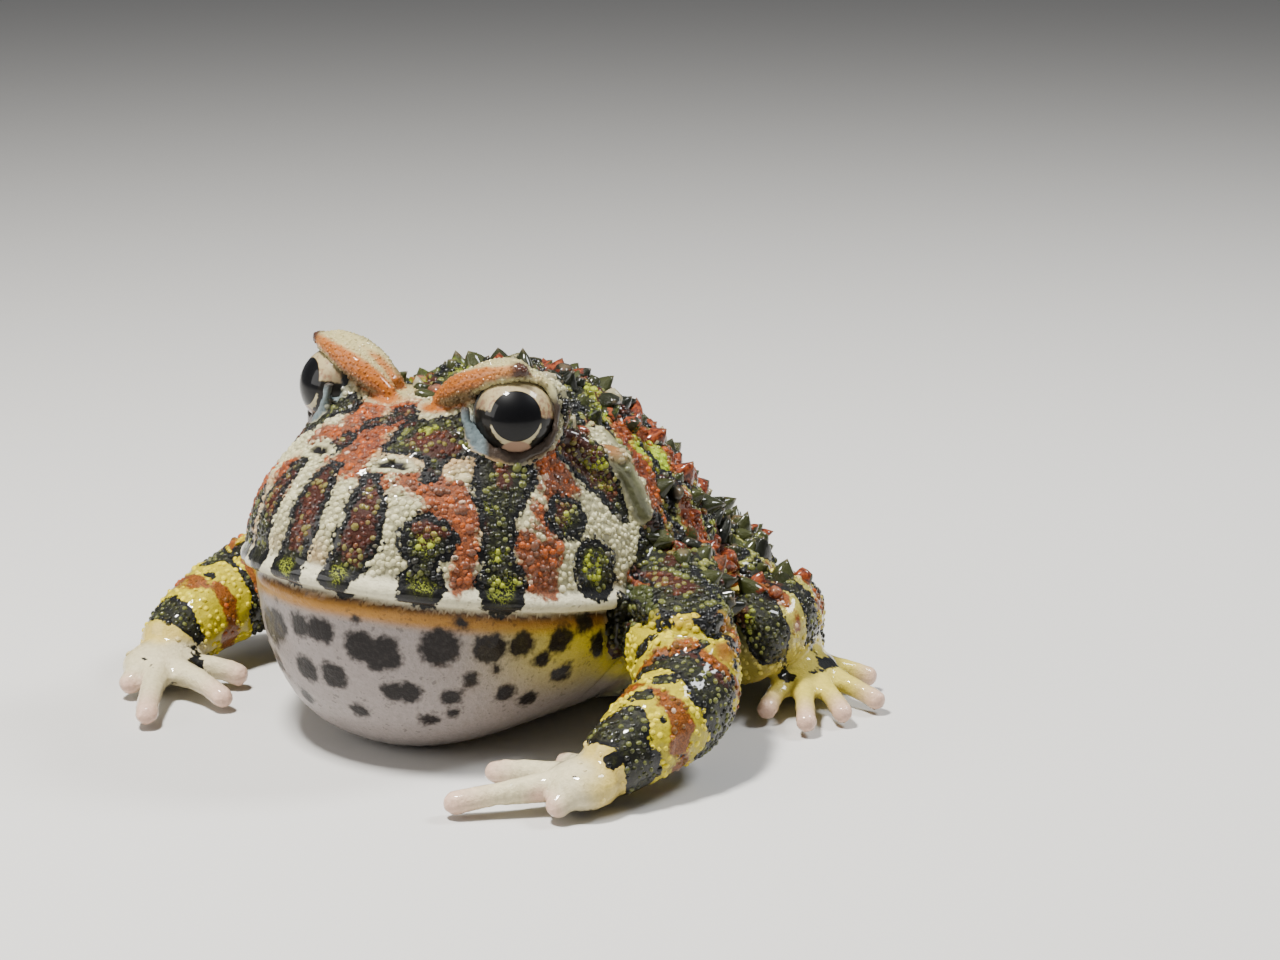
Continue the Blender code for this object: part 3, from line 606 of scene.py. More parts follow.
THROAT_SPOTS = [
    (13, -5.0, 2.7), (18, -6.5, 2.9), (32.3, -4.6, 3.0), (45.1, -6.4, 2.5), (2.3, -2, 2.2), (20, -17, 1.9),
    (24, -17.5, 1.9), (3.4, -14, 2.3), (9, -24, 1.5), (35, -20, 1.6), (54, -7, 2.1), (67, -8, 2.2),
    (84, -13, 2.4), (69, -20, 1.9), (40, -15, 1.3), (28, -27, 1.4), (50, -22, 1.5), (76, -5, 1.7),
    (35, -25, 1.1), (61, -13, 1.4), (47, -13, 1.0), (58, -27, 1.6), (90, -4, 1.8), (38, 1.5, 1.0),
    (12, 2.0, 0.7),
]
places = points_of(skin.data)
spread = places - GLOBE_CENTRE
reach = np.linalg.norm(spread, axis=1)
rays = spread / reach[:, None]
bearing = np.degrees(np.arctan2(spread[:, 0], -spread[:, 1]))


def nearest_stroke(strokes):
    found = np.full(len(rays), 1e3)
    for stroke in strokes:
        found = np.minimum(found, globe_gap(rays, reach, stroke))
    return found


def swing_place(spot, side, pivot, degrees):
    """Where swing_about brings a spot of the left-hand form."""
    base = Vector((side * pivot[0], pivot[1], 0))
    left = Vector((side * spot[0], spot[1], spot[2]))
    return Matrix.Rotation(math.radians(degrees), 4, "Z") @ (left - base) + base


def limb_share(side, path, radii, pivot, swing, slack=1.0):
    """How much each vertex belongs to a limb, and how far along the limb it lies."""
    route = [swing_place(spot, side, pivot, swing) for spot in path]
    gap, along = way_to(places, follow(along_path(route), np.linspace(0, 1, 24)))
    thick = follow(along_path(radii), along)
    return 1 - ramp(gap - thick, slack, slack + 2.0), along


def bands(along, length, spots):
    """Distance in millimetres from the nearest of the bands (middle, half width) across a limb."""
    return np.min([np.abs(along - middle) * length - half for middle, half in spots], axis=0)


def solid_stroke(spots):
    """Distance in millimetres from a stroke of (x, y, z, radius) spots, below 0 inside it."""
    gap, along = way_to(places, [spot[:3] for spot in spots])
    return gap - follow(along_path([spot[3] for spot in spots]), along)


def both_sides(stroke):
    """Distance from a stroke of the left side or its mirror image."""
    return np.min([solid_stroke([(side * x, y, z, r) for x, y, z, r in stroke]) for side in (-1, 1)], axis=0)


hood = ramp(places[:, 1] - 0.3 * np.abs(places[:, 0]), -16, -13) * ramp(places[:, 2], 43.0, 45.0)
body = np.maximum(ramp(places[:, 1], 1.5, 4.5), hood)
big, small, tiny = wavy(places, 0.085, 4), wavy(places, 0.19, 5), wavy(places, 0.34, 12)
NO_MARK = 9.0
back_marks = {"dark": (0.12 - np.abs(big) - 0.25 * small) * 16, "rust": (0.24 - small) * 9,
              "lime": (0.40 - wavy(places, 0.15, 6)) * 9}
ORANGE_BAND = [(18.2, 6.6, 42.4, 1.9), (19.8, 6.4, 40.0, 2.4), (22.5, 5.8, 37.2, 2.6),
               (26.4, 3.4, 34.4, 2.6), (26.8, 5.4, 30.4, 2.4)]
SHOULDER_STROKES = {
    "dark": [[(26.0, 6.0, 31.0, 1.8), (29.0, 8.0, 26.0, 2.2), (31.0, 10.0, 20.0, 2.4)],
             [(9.3, 6.8, 47.3, 2.2), (11.4, 8.9, 46.3, 2.6), (13.9, 10.0, 44.9, 2.8),
              (16.8, 10.4, 43.8, 2.2)],
             [(10.9, 5.0, 46.2, 1.6), (14.5, 6.6, 44.4, 1.6)],
             [(11.4, -1.4, 47.6, 1.2), (12.6, 1.4, 47.0, 1.6), (15.0, 4.0, 45.0, 1.2)],
             [(20.0, 9.5, 38.5, 1.4), (25.0, 9.0, 34.0, 1.8)],
             [(-10.0, 1.0, 47.5, 2.4), (-5.0, -3.0, 49.4, 2.0), (1.0, -2.0, 49.8, 2.0)],
             [(-7.0, -9.5, 48.6, 1.6), (-3.0, -7.5, 49.0, 2.2), (3.0, -8.0, 49.0, 2.0)]],
    "rust": [ORANGE_BAND,
             [(1.0, -18.6, 47.6, 2.2), (3.0, -18.0, 47.8, 2.0)],
             [(17.8, 12.0, 42.6, 1.6), (20.3, 12.0, 40.0, 2.4), (21.8, 13.6, 37.2, 2.6),
              (20.8, 19.4, 34.0, 2.8)],
             [(27.0, 12.0, 31.0, 2.4), (29.5, 13.0, 26.0, 2.6), (31.0, 14.0, 21.0, 2.2)],
             [(4.6, 10.6, 48.8, 1.8), (8.0, 17.0, 42.0, 2.0), (13.0, 19.0, 38.0, 2.2),
              (17.0, 24.0, 32.0, 2.0)]],
    "lime": [[(21.2, 9.2, 39.8, 2.3), (22.8, 9.6, 37.0, 1.8)],
             [(2.0, -4.6, 49.4, 1.7), (-3.0, -4.2, 49.6, 2.0)],
             [(-7.0, -3.0, 49.2, 1.5), (-10.5, -2.0, 47.9, 2.0)],
             [(7.0, 26.0, 38.0, 1.6), (8.0, 27.0, 37.0, 1.4)]],
}
arms = {side: limb_share(side, *ARM, SHOULDER, ARM_SWING[side]) for side in (-1, 1)}
arm_top = np.max([share * (1 - ramp(along + 0.05 * small, 0.23, 0.28)) for share, along in arms.values()],
                 axis=0)
coat = {"dark": nearest_stroke(DARK_STROKES), "rust": nearest_stroke(RUST_STROKES),
        "lime": nearest_stroke(LIME_STROKES)}
shoulder = {kind: np.min([both_sides(stroke) for stroke in strokes], axis=0)
            for kind, strokes in SHOULDER_STROKES.items()}
back_marks["dark"] = np.maximum(back_marks["dark"], 0.9 - shoulder["rust"])
for kind, values in coat.items():
    drawn = np.minimum(np.where(values < 3, values, NO_MARK), shoulder[kind])
    below = np.where(body + arm_top > 0.5, back_marks[kind], values)
    coat[kind] = np.minimum(below, drawn)
mottle = nearest_stroke([[spot] for spot in THROAT_SPOTS] + [[(-b - 2, h, r)] for b, h, r in THROAT_SPOTS])

CREAM, LIP_WHITE, THROAT_GREY_SHADED = (0.46, 0.43, 0.25), (0.62, 0.58, 0.40), (0.30, 0.26, 0.245)
JAW_TAN, GAPE_SHADE_BROWN, YELLOW = (0.36, 0.17, 0.03), (0.045, 0.018, 0.008), (0.60, 0.49, 0.012)
BACK_OLIVE, PINK, SHANK_CREAM = (0.040, 0.048, 0.011), (0.62, 0.41, 0.31), (0.54, 0.44, 0.07)
LID_ORANGE, LID_PALE, HORN_BROWN = (0.30, 0.085, 0.009), (0.40, 0.36, 0.17), (0.05, 0.018, 0.010)
RIM_DUSK, RIM_BLUE, UNDER_LID = (0.040, 0.028, 0.020), (0.13, 0.17, 0.18), (0.19, 0.12, 0.055)
TAN_WASH, FLAP_GREEN, LIMB_RUST = (0.38, 0.17, 0.055), (0.125, 0.13, 0.07), (0.28, 0.07, 0.010)
NOSTRIL_SHADE_BLACK, FINGER_CREAM = (0.003, 0.002, 0.002), (0.60, 0.53, 0.33)


def lay(share, colour):
    """Puts a colour over the ground where the share is high."""
    ground[:] = ground + (np.array(colour) - ground) * share[:, None]


def clear_of(share, *kinds):
    """Takes the marks of these kinds away where the share is high."""
    for kind in kinds:
        coat[kind] = coat[kind] + (NO_MARK - coat[kind]) * share


def banded(share, along, length, dark_bands, rust_bands, ragged):
    """Replaces the marks by bands round a limb, with ragged edges."""
    for kind, spots in (("dark", dark_bands), ("rust", rust_bands)):
        gap = bands(along + ragged * big, length, spots) + 2.6 * small + 1.6 * tiny
        coat[kind] = coat[kind] + (gap - coat[kind]) * share
    clear_of(share, "lime")


legs = {(side, k): limb_share(side, *part, HIP, LEG_SWING[side])
        for side in (-1, 1) for k, part in enumerate((THIGH, SHANK, ANKLE))}
fingers = [limb_share(side, finger, (2.5, 2.2, 2.2), SHOULDER, ARM_SWING[side], 0.4)
           for side in (-1, 1) for finger in FINGERS]
toes = [limb_share(side, toe, (2.8, 2.2, 2.2), HIP, LEG_SWING[side], 0.4)
        for side in (-1, 1) for toe in TOES]
PAD_REACH = 5.6


def pad_share(side, spot, pivot, swing):
    """How much each vertex belongs to a palm or a sole."""
    away = places - np.array(swing_place(spot, side, pivot, swing))
    return 1 - ramp(np.linalg.norm(away, axis=1) - PAD_REACH, 0, 2)


palms = [pad_share(side, PALM, SHOULDER, ARM_SWING[side]) for side in (-1, 1)]
soles = [pad_share(side, SOLE, HIP, LEG_SWING[side]) for side in (-1, 1)]
limb_part = np.max([share for share, along in [*arms.values(), *legs.values(), *fingers, *toes]]
                   + palms + soles, axis=0)
above_lip = places[:, 2] - mouth_z(places[:, 1])
front = ramp(-places[:, 1], -3.0, 1.0) * (1 - limb_part)
upper = ramp(places[:, 2] + 0.12 * np.abs(places[:, 0]), 10, 18)

ground = np.tile(np.array(CREAM), (len(places), 1))
lay(0.75 * ramp(wavy(places, 0.11, 11) + 0.3 * small - 0.004 * np.abs(bearing - 10), -0.15, 0.35), TAN_WASH)
lay(np.maximum(body, arm_top) * upper, BACK_OLIVE)
lay(front * (1 - ramp(above_lip, 2.6, 3.8)), LIP_WHITE)
lay(front * (1 - ramp(above_lip, -1.6, -0.6)), JAW_TAN)
# A dark brown line along the groove under the lip: painted shade in the crease.
lay(front * np.exp(-((above_lip + 1.2) / 0.6) ** 2), GAPE_SHADE_BROWN)
# The throat grey is darker than the throat's own colour: partly its real grey, partly painted shade.
lay(front * (1 - ramp(above_lip, -4.6, -3.0)), THROAT_GREY_SHADED)
jaw_side = front * (1 - ramp(above_lip, -4.0, -2.0)) * ramp(above_lip, -15, -6) * ramp(bearing, 35, 75)
lay(0.85 * jaw_side, YELLOW)
bare = front * (1 - ramp(above_lip, 2.4, 3.6))
out = normals_of(skin.data)
arm_routes = [[swing_place(spot, side, SHOULDER, ARM_SWING[side]) for spot in ARM[0]] for side in (-1, 1)]
gap_to_arms = np.min([way_to(places, route)[0] for route in arm_routes], axis=0) - 7.0
mottle = mottle + NO_MARK * limb_part
FLAP_FACE = [(22.0, -2.0, 42.6), (24.9, -1.8, 40.3), (26.4, -0.8, 36.3), (27.1, 0.4, 32.6)]
FLAP_SHADOW = [(21.6, -4.2, 43.4), (24.4, -3.9, 40.4), (26.0, -2.6, 36.4), (26.9, -1.0, 33.0)]
MOUTH_CORNER_FOLD = [(29.1, -2.6, 23.6), (28.6, -5.0, 19.8), (27.0, -8.9, 16.0)]
LEG_LENGTHS = (34, 26, 16)
for side in (-1, 1):
    flap_gap, _ = way_to(places, mirrored(side, FLAP_FACE))
    on_flap = 1 - ramp(flap_gap, 1.0, 1.6)
    lay(on_flap, FLAP_GREEN)
    lay(0.6 * on_flap * ramp(places[:, 2] + small, 39.5, 42.0), LID_ORANGE)
    # The groove beside the flap is drawn as a dark mark: painted shadow in the groove.
    groove_gap, _ = way_to(places, mirrored(side, FLAP_SHADOW))
    coat["dark"] = np.minimum(coat["dark"], groove_gap - 0.6)
    clear_of(on_flap, "dark", "rust", "lime")
    bare = np.maximum(bare, on_flap * 0.9)
    corner_gap, _ = way_to(places, mirrored(side, MOUTH_CORNER_FOLD))
    lay(0.9 * (1 - ramp(corner_gap, 0.9, 1.9)), FLAP_GREEN)

    share, along = arms[side]
    clear_of(share * (1 - ramp(along, 0.16, 0.28)), "lime")
    near_arm = (1 - ramp(gap_to_arms, 3.0, 7.5)) * (1 - share) * (1 - ramp(places[:, 2], 15, 19))
    near_arm = near_arm * (1 - ramp(places[:, 1], 4, 9))
    lay(0.85 * near_arm, YELLOW)
    coat["dark"] = coat["dark"] + 1.6 * near_arm
    share = share * ramp(along + 0.05 * small, 0.21, 0.25)
    lay(share, YELLOW)
    outer = ramp(side * out[:, 0] + 0.5 * small, 0.1, 0.7)
    lay(share * outer * ramp(0.36 + 0.1 * small - along, 0, 0.08), LIMB_RUST)
    banded(share, along, 62, [(0.27, 0.7), (0.46, 4.6), (0.80, 4.6)], [(0.37, 1.6), (0.64, 1.8)], 0.07)
    specks = (0.36 - tiny - 0.4 * small) * 9
    coat["dark"] = np.where(share > 0.5, np.minimum(coat["dark"], specks), coat["dark"])
    for k, length in enumerate(LEG_LENGTHS):
        share, along = legs[side, k]
        low = ramp(along + 0.1 * small, 0.04, 0.25)
        if k == 0:
            low = (1 - ramp(places[:, 2] - 0.25 * places[:, 1], 4, 10)) * ramp(along, 0.45, 0.62)
        lay(share * low, SHANK_CREAM)
        banded(share * low, along, length, [(0.10, 2.0), (0.45, 2.4), (0.84, 2.4)],
               [(0.28, 1.0), (0.64, 0.8)], 0.12)
for share in palms:
    lay(share * 0.35, PINK)
for share in soles + [share for share, along in toes]:
    lay(share, SHANK_CREAM)
for share in palms + soles:
    bare = np.maximum(bare, share * 0.75)
for share, along in fingers:
    lay(share, FINGER_CREAM)
    lay(share * ramp(along, 0.45, 1.0), PINK)
for share, along in toes:
    lay(share * ramp(along, 0.45, 1.0), PINK)
for share, along in fingers + toes:
    spots = bands(along, 14, [(0.16, 0.9)]) + 2.2 * small + 0.3
    coat["dark"] = coat["dark"] + (spots - coat["dark"]) * share
    clear_of(share, "rust", "lime")
    bare = np.maximum(bare, share)
under = 1 - ramp(places[:, 2], 1.0, 5)
lay(under * body * (1 - limb_part), CREAM)
clear_of(under * body, "dark", "rust", "lime")
bare = np.maximum(bare, 1 - ramp(places[:, 2], 2, 5))
lids = np.zeros(len(places))
for side in (-1, 1):
    centre = np.array(eye_centre(side))
    away = places - centre
    roll_gap, along = way_to(places, centre + np.array(mirrored(side, HORN_ROLL)))
    web_gap, _ = way_to(places, centre + np.array(mirrored(side, SAIL)))
    share = 1 - ramp(np.minimum(roll_gap - 1.9, web_gap - 3.0), 0.0, 1.3)
    share = share * ramp(away[:, 2] - 0.25 * side * places[:, 0] + 0.25 * LEFT_EYE.x, 1.0, 2.6)
    lay(share, LID_ORANGE)
    lay(0.8 * share * ramp(along + 0.3 * small, 0.35, 0.9), TAN_WASH)
    lay(0.9 * share * ramp(out[:, 2] + 0.5 * out[:, 1] + 0.15 * small + 0.45 * along, 0.72, 1.05), LID_PALE)
    lay(0.6 * share * ramp(out[:, 1] + 0.4 * small + 0.3 * tiny, 0.25, 0.85), BACK_OLIVE)
    lay(share * ramp(-out[:, 2], 0.1, 0.5), UNDER_LID)
    tip = np.linalg.norm(away - (side * 3.3, -1.6, 7.2), axis=1)
    lay(1 - ramp(tip, 1.3, 2.6), HORN_BROWN)
    rim_gap = np.linalg.norm(away, axis=1) - EYE_RADIUS
    ring = follow(along_path(round_eye(side, RIM_SPOTS, RIM_FORWARD)), np.linspace(0, 1, 40))
    ring_gap, _ = way_to(places, ring)
    on_rim = (1 - ramp(rim_gap, 0.9, 1.2)) * ramp(away @ np.array(eye_axis(side)), -0.5, 1.0)
    on_rim = np.maximum(on_rim, 1 - ramp(ring_gap, 0.75, 1.15))
    nasal = -(away @ np.array(eye_level(side)))
    lay(0.85 * on_rim * ramp(away[:, 2], 2.5, 4.5), LID_PALE)
    lay(on_rim * ramp(-away[:, 2], -4.0, -2.0), RIM_DUSK)
    lay(on_rim * ramp(nasal, 3.6, 4.8) * (1 - ramp(away[:, 2], 0.6, 2.2)), RIM_BLUE)
    lids = np.maximum(lids, share)
    clear_of(np.maximum(share, on_rim), "dark", "rust", "lime")
    bare = np.maximum(bare, np.maximum(share, on_rim))
    slit_gap = slit_gaps[side]
    clear_of(1 - ramp(slit_gap, 1.0, 1.6), "dark", "rust", "lime")
    lay(1 - ramp(slit_gap, 1.1, 1.5), CREAM)
    # The slit is painted near black: painted shade inside the nostril opening.
    lay(1 - ramp(slit_gap, 0.55, 0.85), NOSTRIL_SHADE_BLACK)
    bare = np.maximum(bare, 1 - ramp(slit_gap, 0.9, 1.3))
dark, rust, lime = coat["dark"], coat["rust"], coat["lime"]


def keep(mesh, name, values):
    """Stores one number per vertex under a name."""
    held = mesh.attributes.new(name, "FLOAT", "POINT")
    held.data.foreach_set("value", np.asarray(values, np.float32))


def keep_colour(mesh, name, colours):
    held = mesh.attributes.new(name, "FLOAT_COLOR", "POINT")
    rows = np.concatenate([colours, np.ones((len(colours), 1))], axis=1)
    held.data.foreach_set("color", rows.astype(np.float32).ravel())


pale_swell = np.exp(-((dark - 1.3) / 0.9) ** 2) * 0.22 + np.exp(-(dark / 0.5) ** 2) * -0.12
grainy = 0.20 * wavy(places, 0.62, 8) + 0.10 * wavy(places, 1.2, 9)
places = places + out * ((pale_swell + grainy) * np.clip(1 - bare, 0, 1) * (1 - on_back))[:, None]
places[:, 2] = np.maximum(places[:, 2], 0.02)
put_points(skin.data, places)
for name, values in (("dark", dark), ("rust", rust), ("lime", lime), ("mottle", mottle), ("bare", bare),
                     ("on_back", on_back)):
    keep(skin.data, name, values)
keep(skin.data, "tone", np.full(len(places), 0.3))
keep_colour(skin.data, "ground", ground)


# The finish of the skin: thin wet hide, glossy, with the colours laid over a pale ground
class Nodes:
    """Adds nodes to one node tree."""

    def __init__(self, tree):
        self.tree = tree

    def add(self, kind, settings=None, inputs=None, output=0):
        node = self.tree.nodes.new(kind)
        for name, value in (settings or {}).items():
            setattr(node, name, value)
        for name, value in (inputs or {}).items():
            self.feed(node.inputs[name], value)
        return Wire(self, node.outputs[output])

    def feed(self, socket, value):
        if isinstance(value, Wire):
            self.tree.links.new(value.socket, socket)
        else:
            socket.default_value = value

    def maths(self, operation, first, second=0.0):
        return self.add("ShaderNodeMath", {"operation": operation}, {0: first, 1: second})

    def blend(self, share, first, second):
        return self.add("ShaderNodeMix", {"data_type": "RGBA"}, {0: share, 6: first, 7: second}, 2)

    def number(self, name):
        return self.add("ShaderNodeAttribute", {"attribute_name": name}, output=2)


class Wire:
    """One output of a node, for use in sums with numbers and other wires."""

    def __init__(self, nodes, socket):
        self.nodes, self.socket = nodes, socket

    def __add__(self, other):
        return self.nodes.maths("ADD", self, other)

    def __sub__(self, other):
        return self.nodes.maths("SUBTRACT", self, other)

    def __rsub__(self, other):
        return self.nodes.maths("SUBTRACT", other, self)

    def __mul__(self, other):
        return self.nodes.maths("MULTIPLY", self, other)

    __radd__ = __add__
    __rmul__ = __mul__

    def between(self, low, high):
        """0 at low, 1 at high, smooth between."""
        return self.nodes.add("ShaderNodeMapRange", {"interpolation_type": "SMOOTHSTEP"},
                              {"Value": self, "From Min": low, "From Max": high})


def rgb(red, green, blue):
    return (red, green, blue, 1.0)


THROAT_BLACK, MARK_BLACK = rgb(0.010, 0.007, 0.007), rgb(0.003, 0.003, 0.003)
HALO_GREEN, LIME_GREEN, WART_LIME = rgb(0.23, 0.23, 0.050), rgb(0.26, 0.35, 0.008), rgb(0.22, 0.30, 0.010)
PALE_RUST, THORN_TIP, WART_CREAM = rgb(0.46, 0.30, 0.20), rgb(0.28, 0.20, 0.12), rgb(0.27, 0.24, 0.14)


def hide_finish(name, beads=False, warts=False):
    """Wet hide; the grains on it are brighter than the skin between them, which is darkened there as painted
    shade; each grain has its own tone.
    """
    finish = bpy.data.materials.new(name)
    finish.use_nodes = True
    nodes = Nodes(finish.node_tree)
    shader = finish.node_tree.nodes["Principled BSDF"]
    where = nodes.add("ShaderNodeTexCoord", output="Object")
    millimetres = nodes.add("ShaderNodeVectorMath", {"operation": "SCALE"}, {0: where, "Scale": 1000.0})

    def cloud(scale, detail=2.0):
        settings = {"Vector": millimetres, "Scale": scale, "Detail": detail}
        return nodes.add("ShaderNodeTexNoise", inputs=settings)

    broad, fine, grit = cloud(0.45), cloud(1.5), cloud(4.0, 3.0)
    tone = nodes.number("tone")
    wobble = (broad - 0.5) * 2.6 + (fine - 0.5) * 1.6
    inside = nodes.number("dark") + wobble
    dark_share = 1 - inside.between(-0.15, 0.25)
    core = 1 - inside.between(-1.6, -0.9)
    rusty = 1 - (nodes.number("rust") + wobble * 1.3).between(-0.5, 0.7)
    limy = 1 - (nodes.number("lime") + wobble * 1.4).between(-0.8, 0.6)
    on_throat = 1 - nodes.number("mottle").between(3.0, 6.0)
    freckled = (fine * 0.6 + broad * 0.4).between(0.56, 0.66) * on_throat * 0.45
    spotty = 1 - (nodes.number("mottle") + wobble * 0.8).between(-0.7, 0.55)
    spotty = nodes.maths("MAXIMUM", spotty, freckled)
    ground = nodes.add("ShaderNodeAttribute", {"attribute_name": "ground"})
    # Where grains grow, the skin between them is made darker: painted shade. The rest of the scale is random
    # tone.
    gap_shade = 1 - nodes.number("bare") if not beads else 0.0
    shade = (0.74 + 0.5 * fine) + (tone - 0.3) * 0.28 - gap_shade * 0.35
    pale = nodes.add("ShaderNodeVectorMath", {"operation": "SCALE"}, {0: ground, "Scale": shade})
    pale = nodes.blend(spotty * (0.90 + 0.20 * fine), pale, THROAT_BLACK)
    if beads:
        rust_red = nodes.blend(tone.between(0.15, 0.92), rgb(0.09, 0.012, 0.004), rgb(0.31, 0.058, 0.004))
        rust_red = nodes.blend(tone.between(0.96, 0.97), rust_red, PALE_RUST)
        olive = nodes.blend(fine.between(0.45, 0.62), rgb(0.008, 0.008, 0.003), rgb(0.032, 0.035, 0.007))
        brick = nodes.blend(tone.between(0.3, 0.9), rgb(0.045, 0.008, 0.004), rgb(0.20, 0.050, 0.018))
        olive = nodes.blend(rusty * 0.9, olive, brick)
        speck = (tone + grit * 0.35).between(0.78, 0.90)
        green = nodes.blend(limy, rgb(0.13, 0.14, 0.030), rgb(0.27, 0.30, 0.018))
        olive = nodes.blend(speck * 0.75 + limy * tone.between(0.30, 0.60) * 0.85, olive, green)
        edge = nodes.blend(tone.between(0.93, 0.98), MARK_BLACK, rgb(0.07, 0.065, 0.045))
    else:
        rust_red = nodes.blend(grit.between(0.4, 0.6), rgb(0.09, 0.012, 0.003), rgb(0.20, 0.042, 0.007))
        olive = nodes.blend(fine.between(0.45, 0.62), rgb(0.006, 0.006, 0.003), rgb(0.016, 0.017, 0.005))
        olive = nodes.blend(rusty * 0.8, olive, rgb(0.040, 0.008, 0.004))
        greenish = limy * (grit + fine * 0.5).between(0.70, 0.86)
        olive = nodes.blend(greenish, olive, rgb(0.20, 0.23, 0.020))
        edge = MARK_BLACK
    halo = inside.between(0.1, 0.5) * (1 - inside.between(0.9, 1.5)) * nodes.number("on_back")
    pale = nodes.blend(halo * 0.85, pale, HALO_GREEN)
    coloured = nodes.blend(rusty * (0.90 + 0.10 * tone), pale, rust_red)
    lime_ground = nodes.blend(limy * nodes.number("on_back"), coloured, LIME_GREEN)
    colour = nodes.blend(dark_share, lime_ground, nodes.blend(core, edge, olive))
    if warts:
        lot = tone + rusty * 0.6 - dark_share * 0.45
        dusky = nodes.blend(tone.between(0.1, 0.5), rgb(0.006, 0.007, 0.003), rgb(0.030, 0.034, 0.008))
        ruddy = nodes.blend(fine.between(0.4, 0.6), rgb(0.07, 0.011, 0.004), rgb(0.21, 0.042, 0.010))
        colour = nodes.blend(lot.between(0.70, 0.74), dusky, ruddy)
        colour = nodes.blend((tone + grit * 0.05).between(0.965, 0.975), colour, WART_CREAM)
        colour = nodes.blend(limy * 0.85, colour, WART_LIME)
        colour = nodes.blend(nodes.number("tip").between(0.75, 1.10) * 0.40, colour, THORN_TIP)
    nodes.feed(shader.inputs["Base Color"], colour)
    nodes.feed(shader.inputs["Roughness"], 0.34 + 0.25 * grit)
    shader.inputs["Specular IOR Level"].default_value = 0.12
    nodes.feed(shader.inputs["Coat Weight"], 1.0 - on_throat * 0.65)
    shader.inputs["Coat Roughness"].default_value = 0.05
    shader.inputs["Coat IOR"].default_value = 1.34
    height = fine * 0.5 + grit * 0.35
    bump = nodes.add("ShaderNodeBump", inputs={"Strength": 0.6, "Distance": 0.0005, "Height": height})
    nodes.feed(shader.inputs["Normal"], bump)
    return finish


skin.data.materials.append(hide_finish("wet_hide"))

# Beads and spiny warts of the skin
# In life the skin is set with rounded grains about a millimetre apart, and on the back with
# pointed warts; lip, throat, fingers and toes are bare.
skin.data.uv_layers.new(name="unwrap")
bpy.context.view_layer.objects.active = skin
skin.select_set(True)
bpy.ops.object.mode_set(mode="EDIT")
bpy.ops.mesh.select_all(action="SELECT")
bpy.ops.uv.smart_project(angle_limit=math.radians(66), island_margin=0.002)
bpy.ops.object.mode_set(mode="OBJECT")
skin.select_set(False)

BEAD_FINISH = hide_finish("wet_beads", beads=True)
WART_FINISH = hide_finish("wet_warts", beads=True, warts=True)


def bead_form(name, sides, rings, profile, uneven=0.0, crook=0.0):
    """A small closed form standing on the skin; profile(t) gives (radius, height), t from 0 to 1."""
    bm = bmesh.new()

    def spot(radius, height, angle):
        lobes = uneven * math.sin(3 * angle + 1.3 * height) + 0.6 * uneven * math.cos(2 * angle)
        radius = radius * (1 + lobes)
        bend = crook * max(0, height) ** 2
        return bm.verts.new((radius * math.cos(angle) + bend, radius * math.sin(angle) + 0.4 * bend, height))

    levels = [profile(i / rings) for i in range(rings)]
    loops = [[spot(*level, 2 * math.pi * k / sides) for k in range(sides)] for level in levels]
    top = spot(0, profile(1)[1], 0)
    for low, high in zip(loops, loops[1:]):
        for k in range(sides):
            bm.faces.new((low[k], low[(k + 1) % sides], high[(k + 1) % sides], high[k]))
    for k in range(sides):
        bm.faces.new((loops[-1][k], loops[-1][(k + 1) % sides], top))
    bm.faces.new(list(reversed(loops[0])))
    mesh = bpy.data.meshes.new(name)
    bm.to_mesh(mesh)
    bm.free()
    mesh.shade_smooth()
    spots = points_of(mesh)
    held = mesh.attributes.new("spot", "FLOAT_VECTOR", "POINT")
    flat = np.column_stack([spots[:, :2] / np.abs(spots[:, :2]).max() * 0.0015, np.zeros(len(spots))])
    held.data.foreach_set("vector", flat.astype(np.float32).ravel())
    keep(mesh, "tip", spots[:, 2] / spots[:, 2].max())
    return mesh


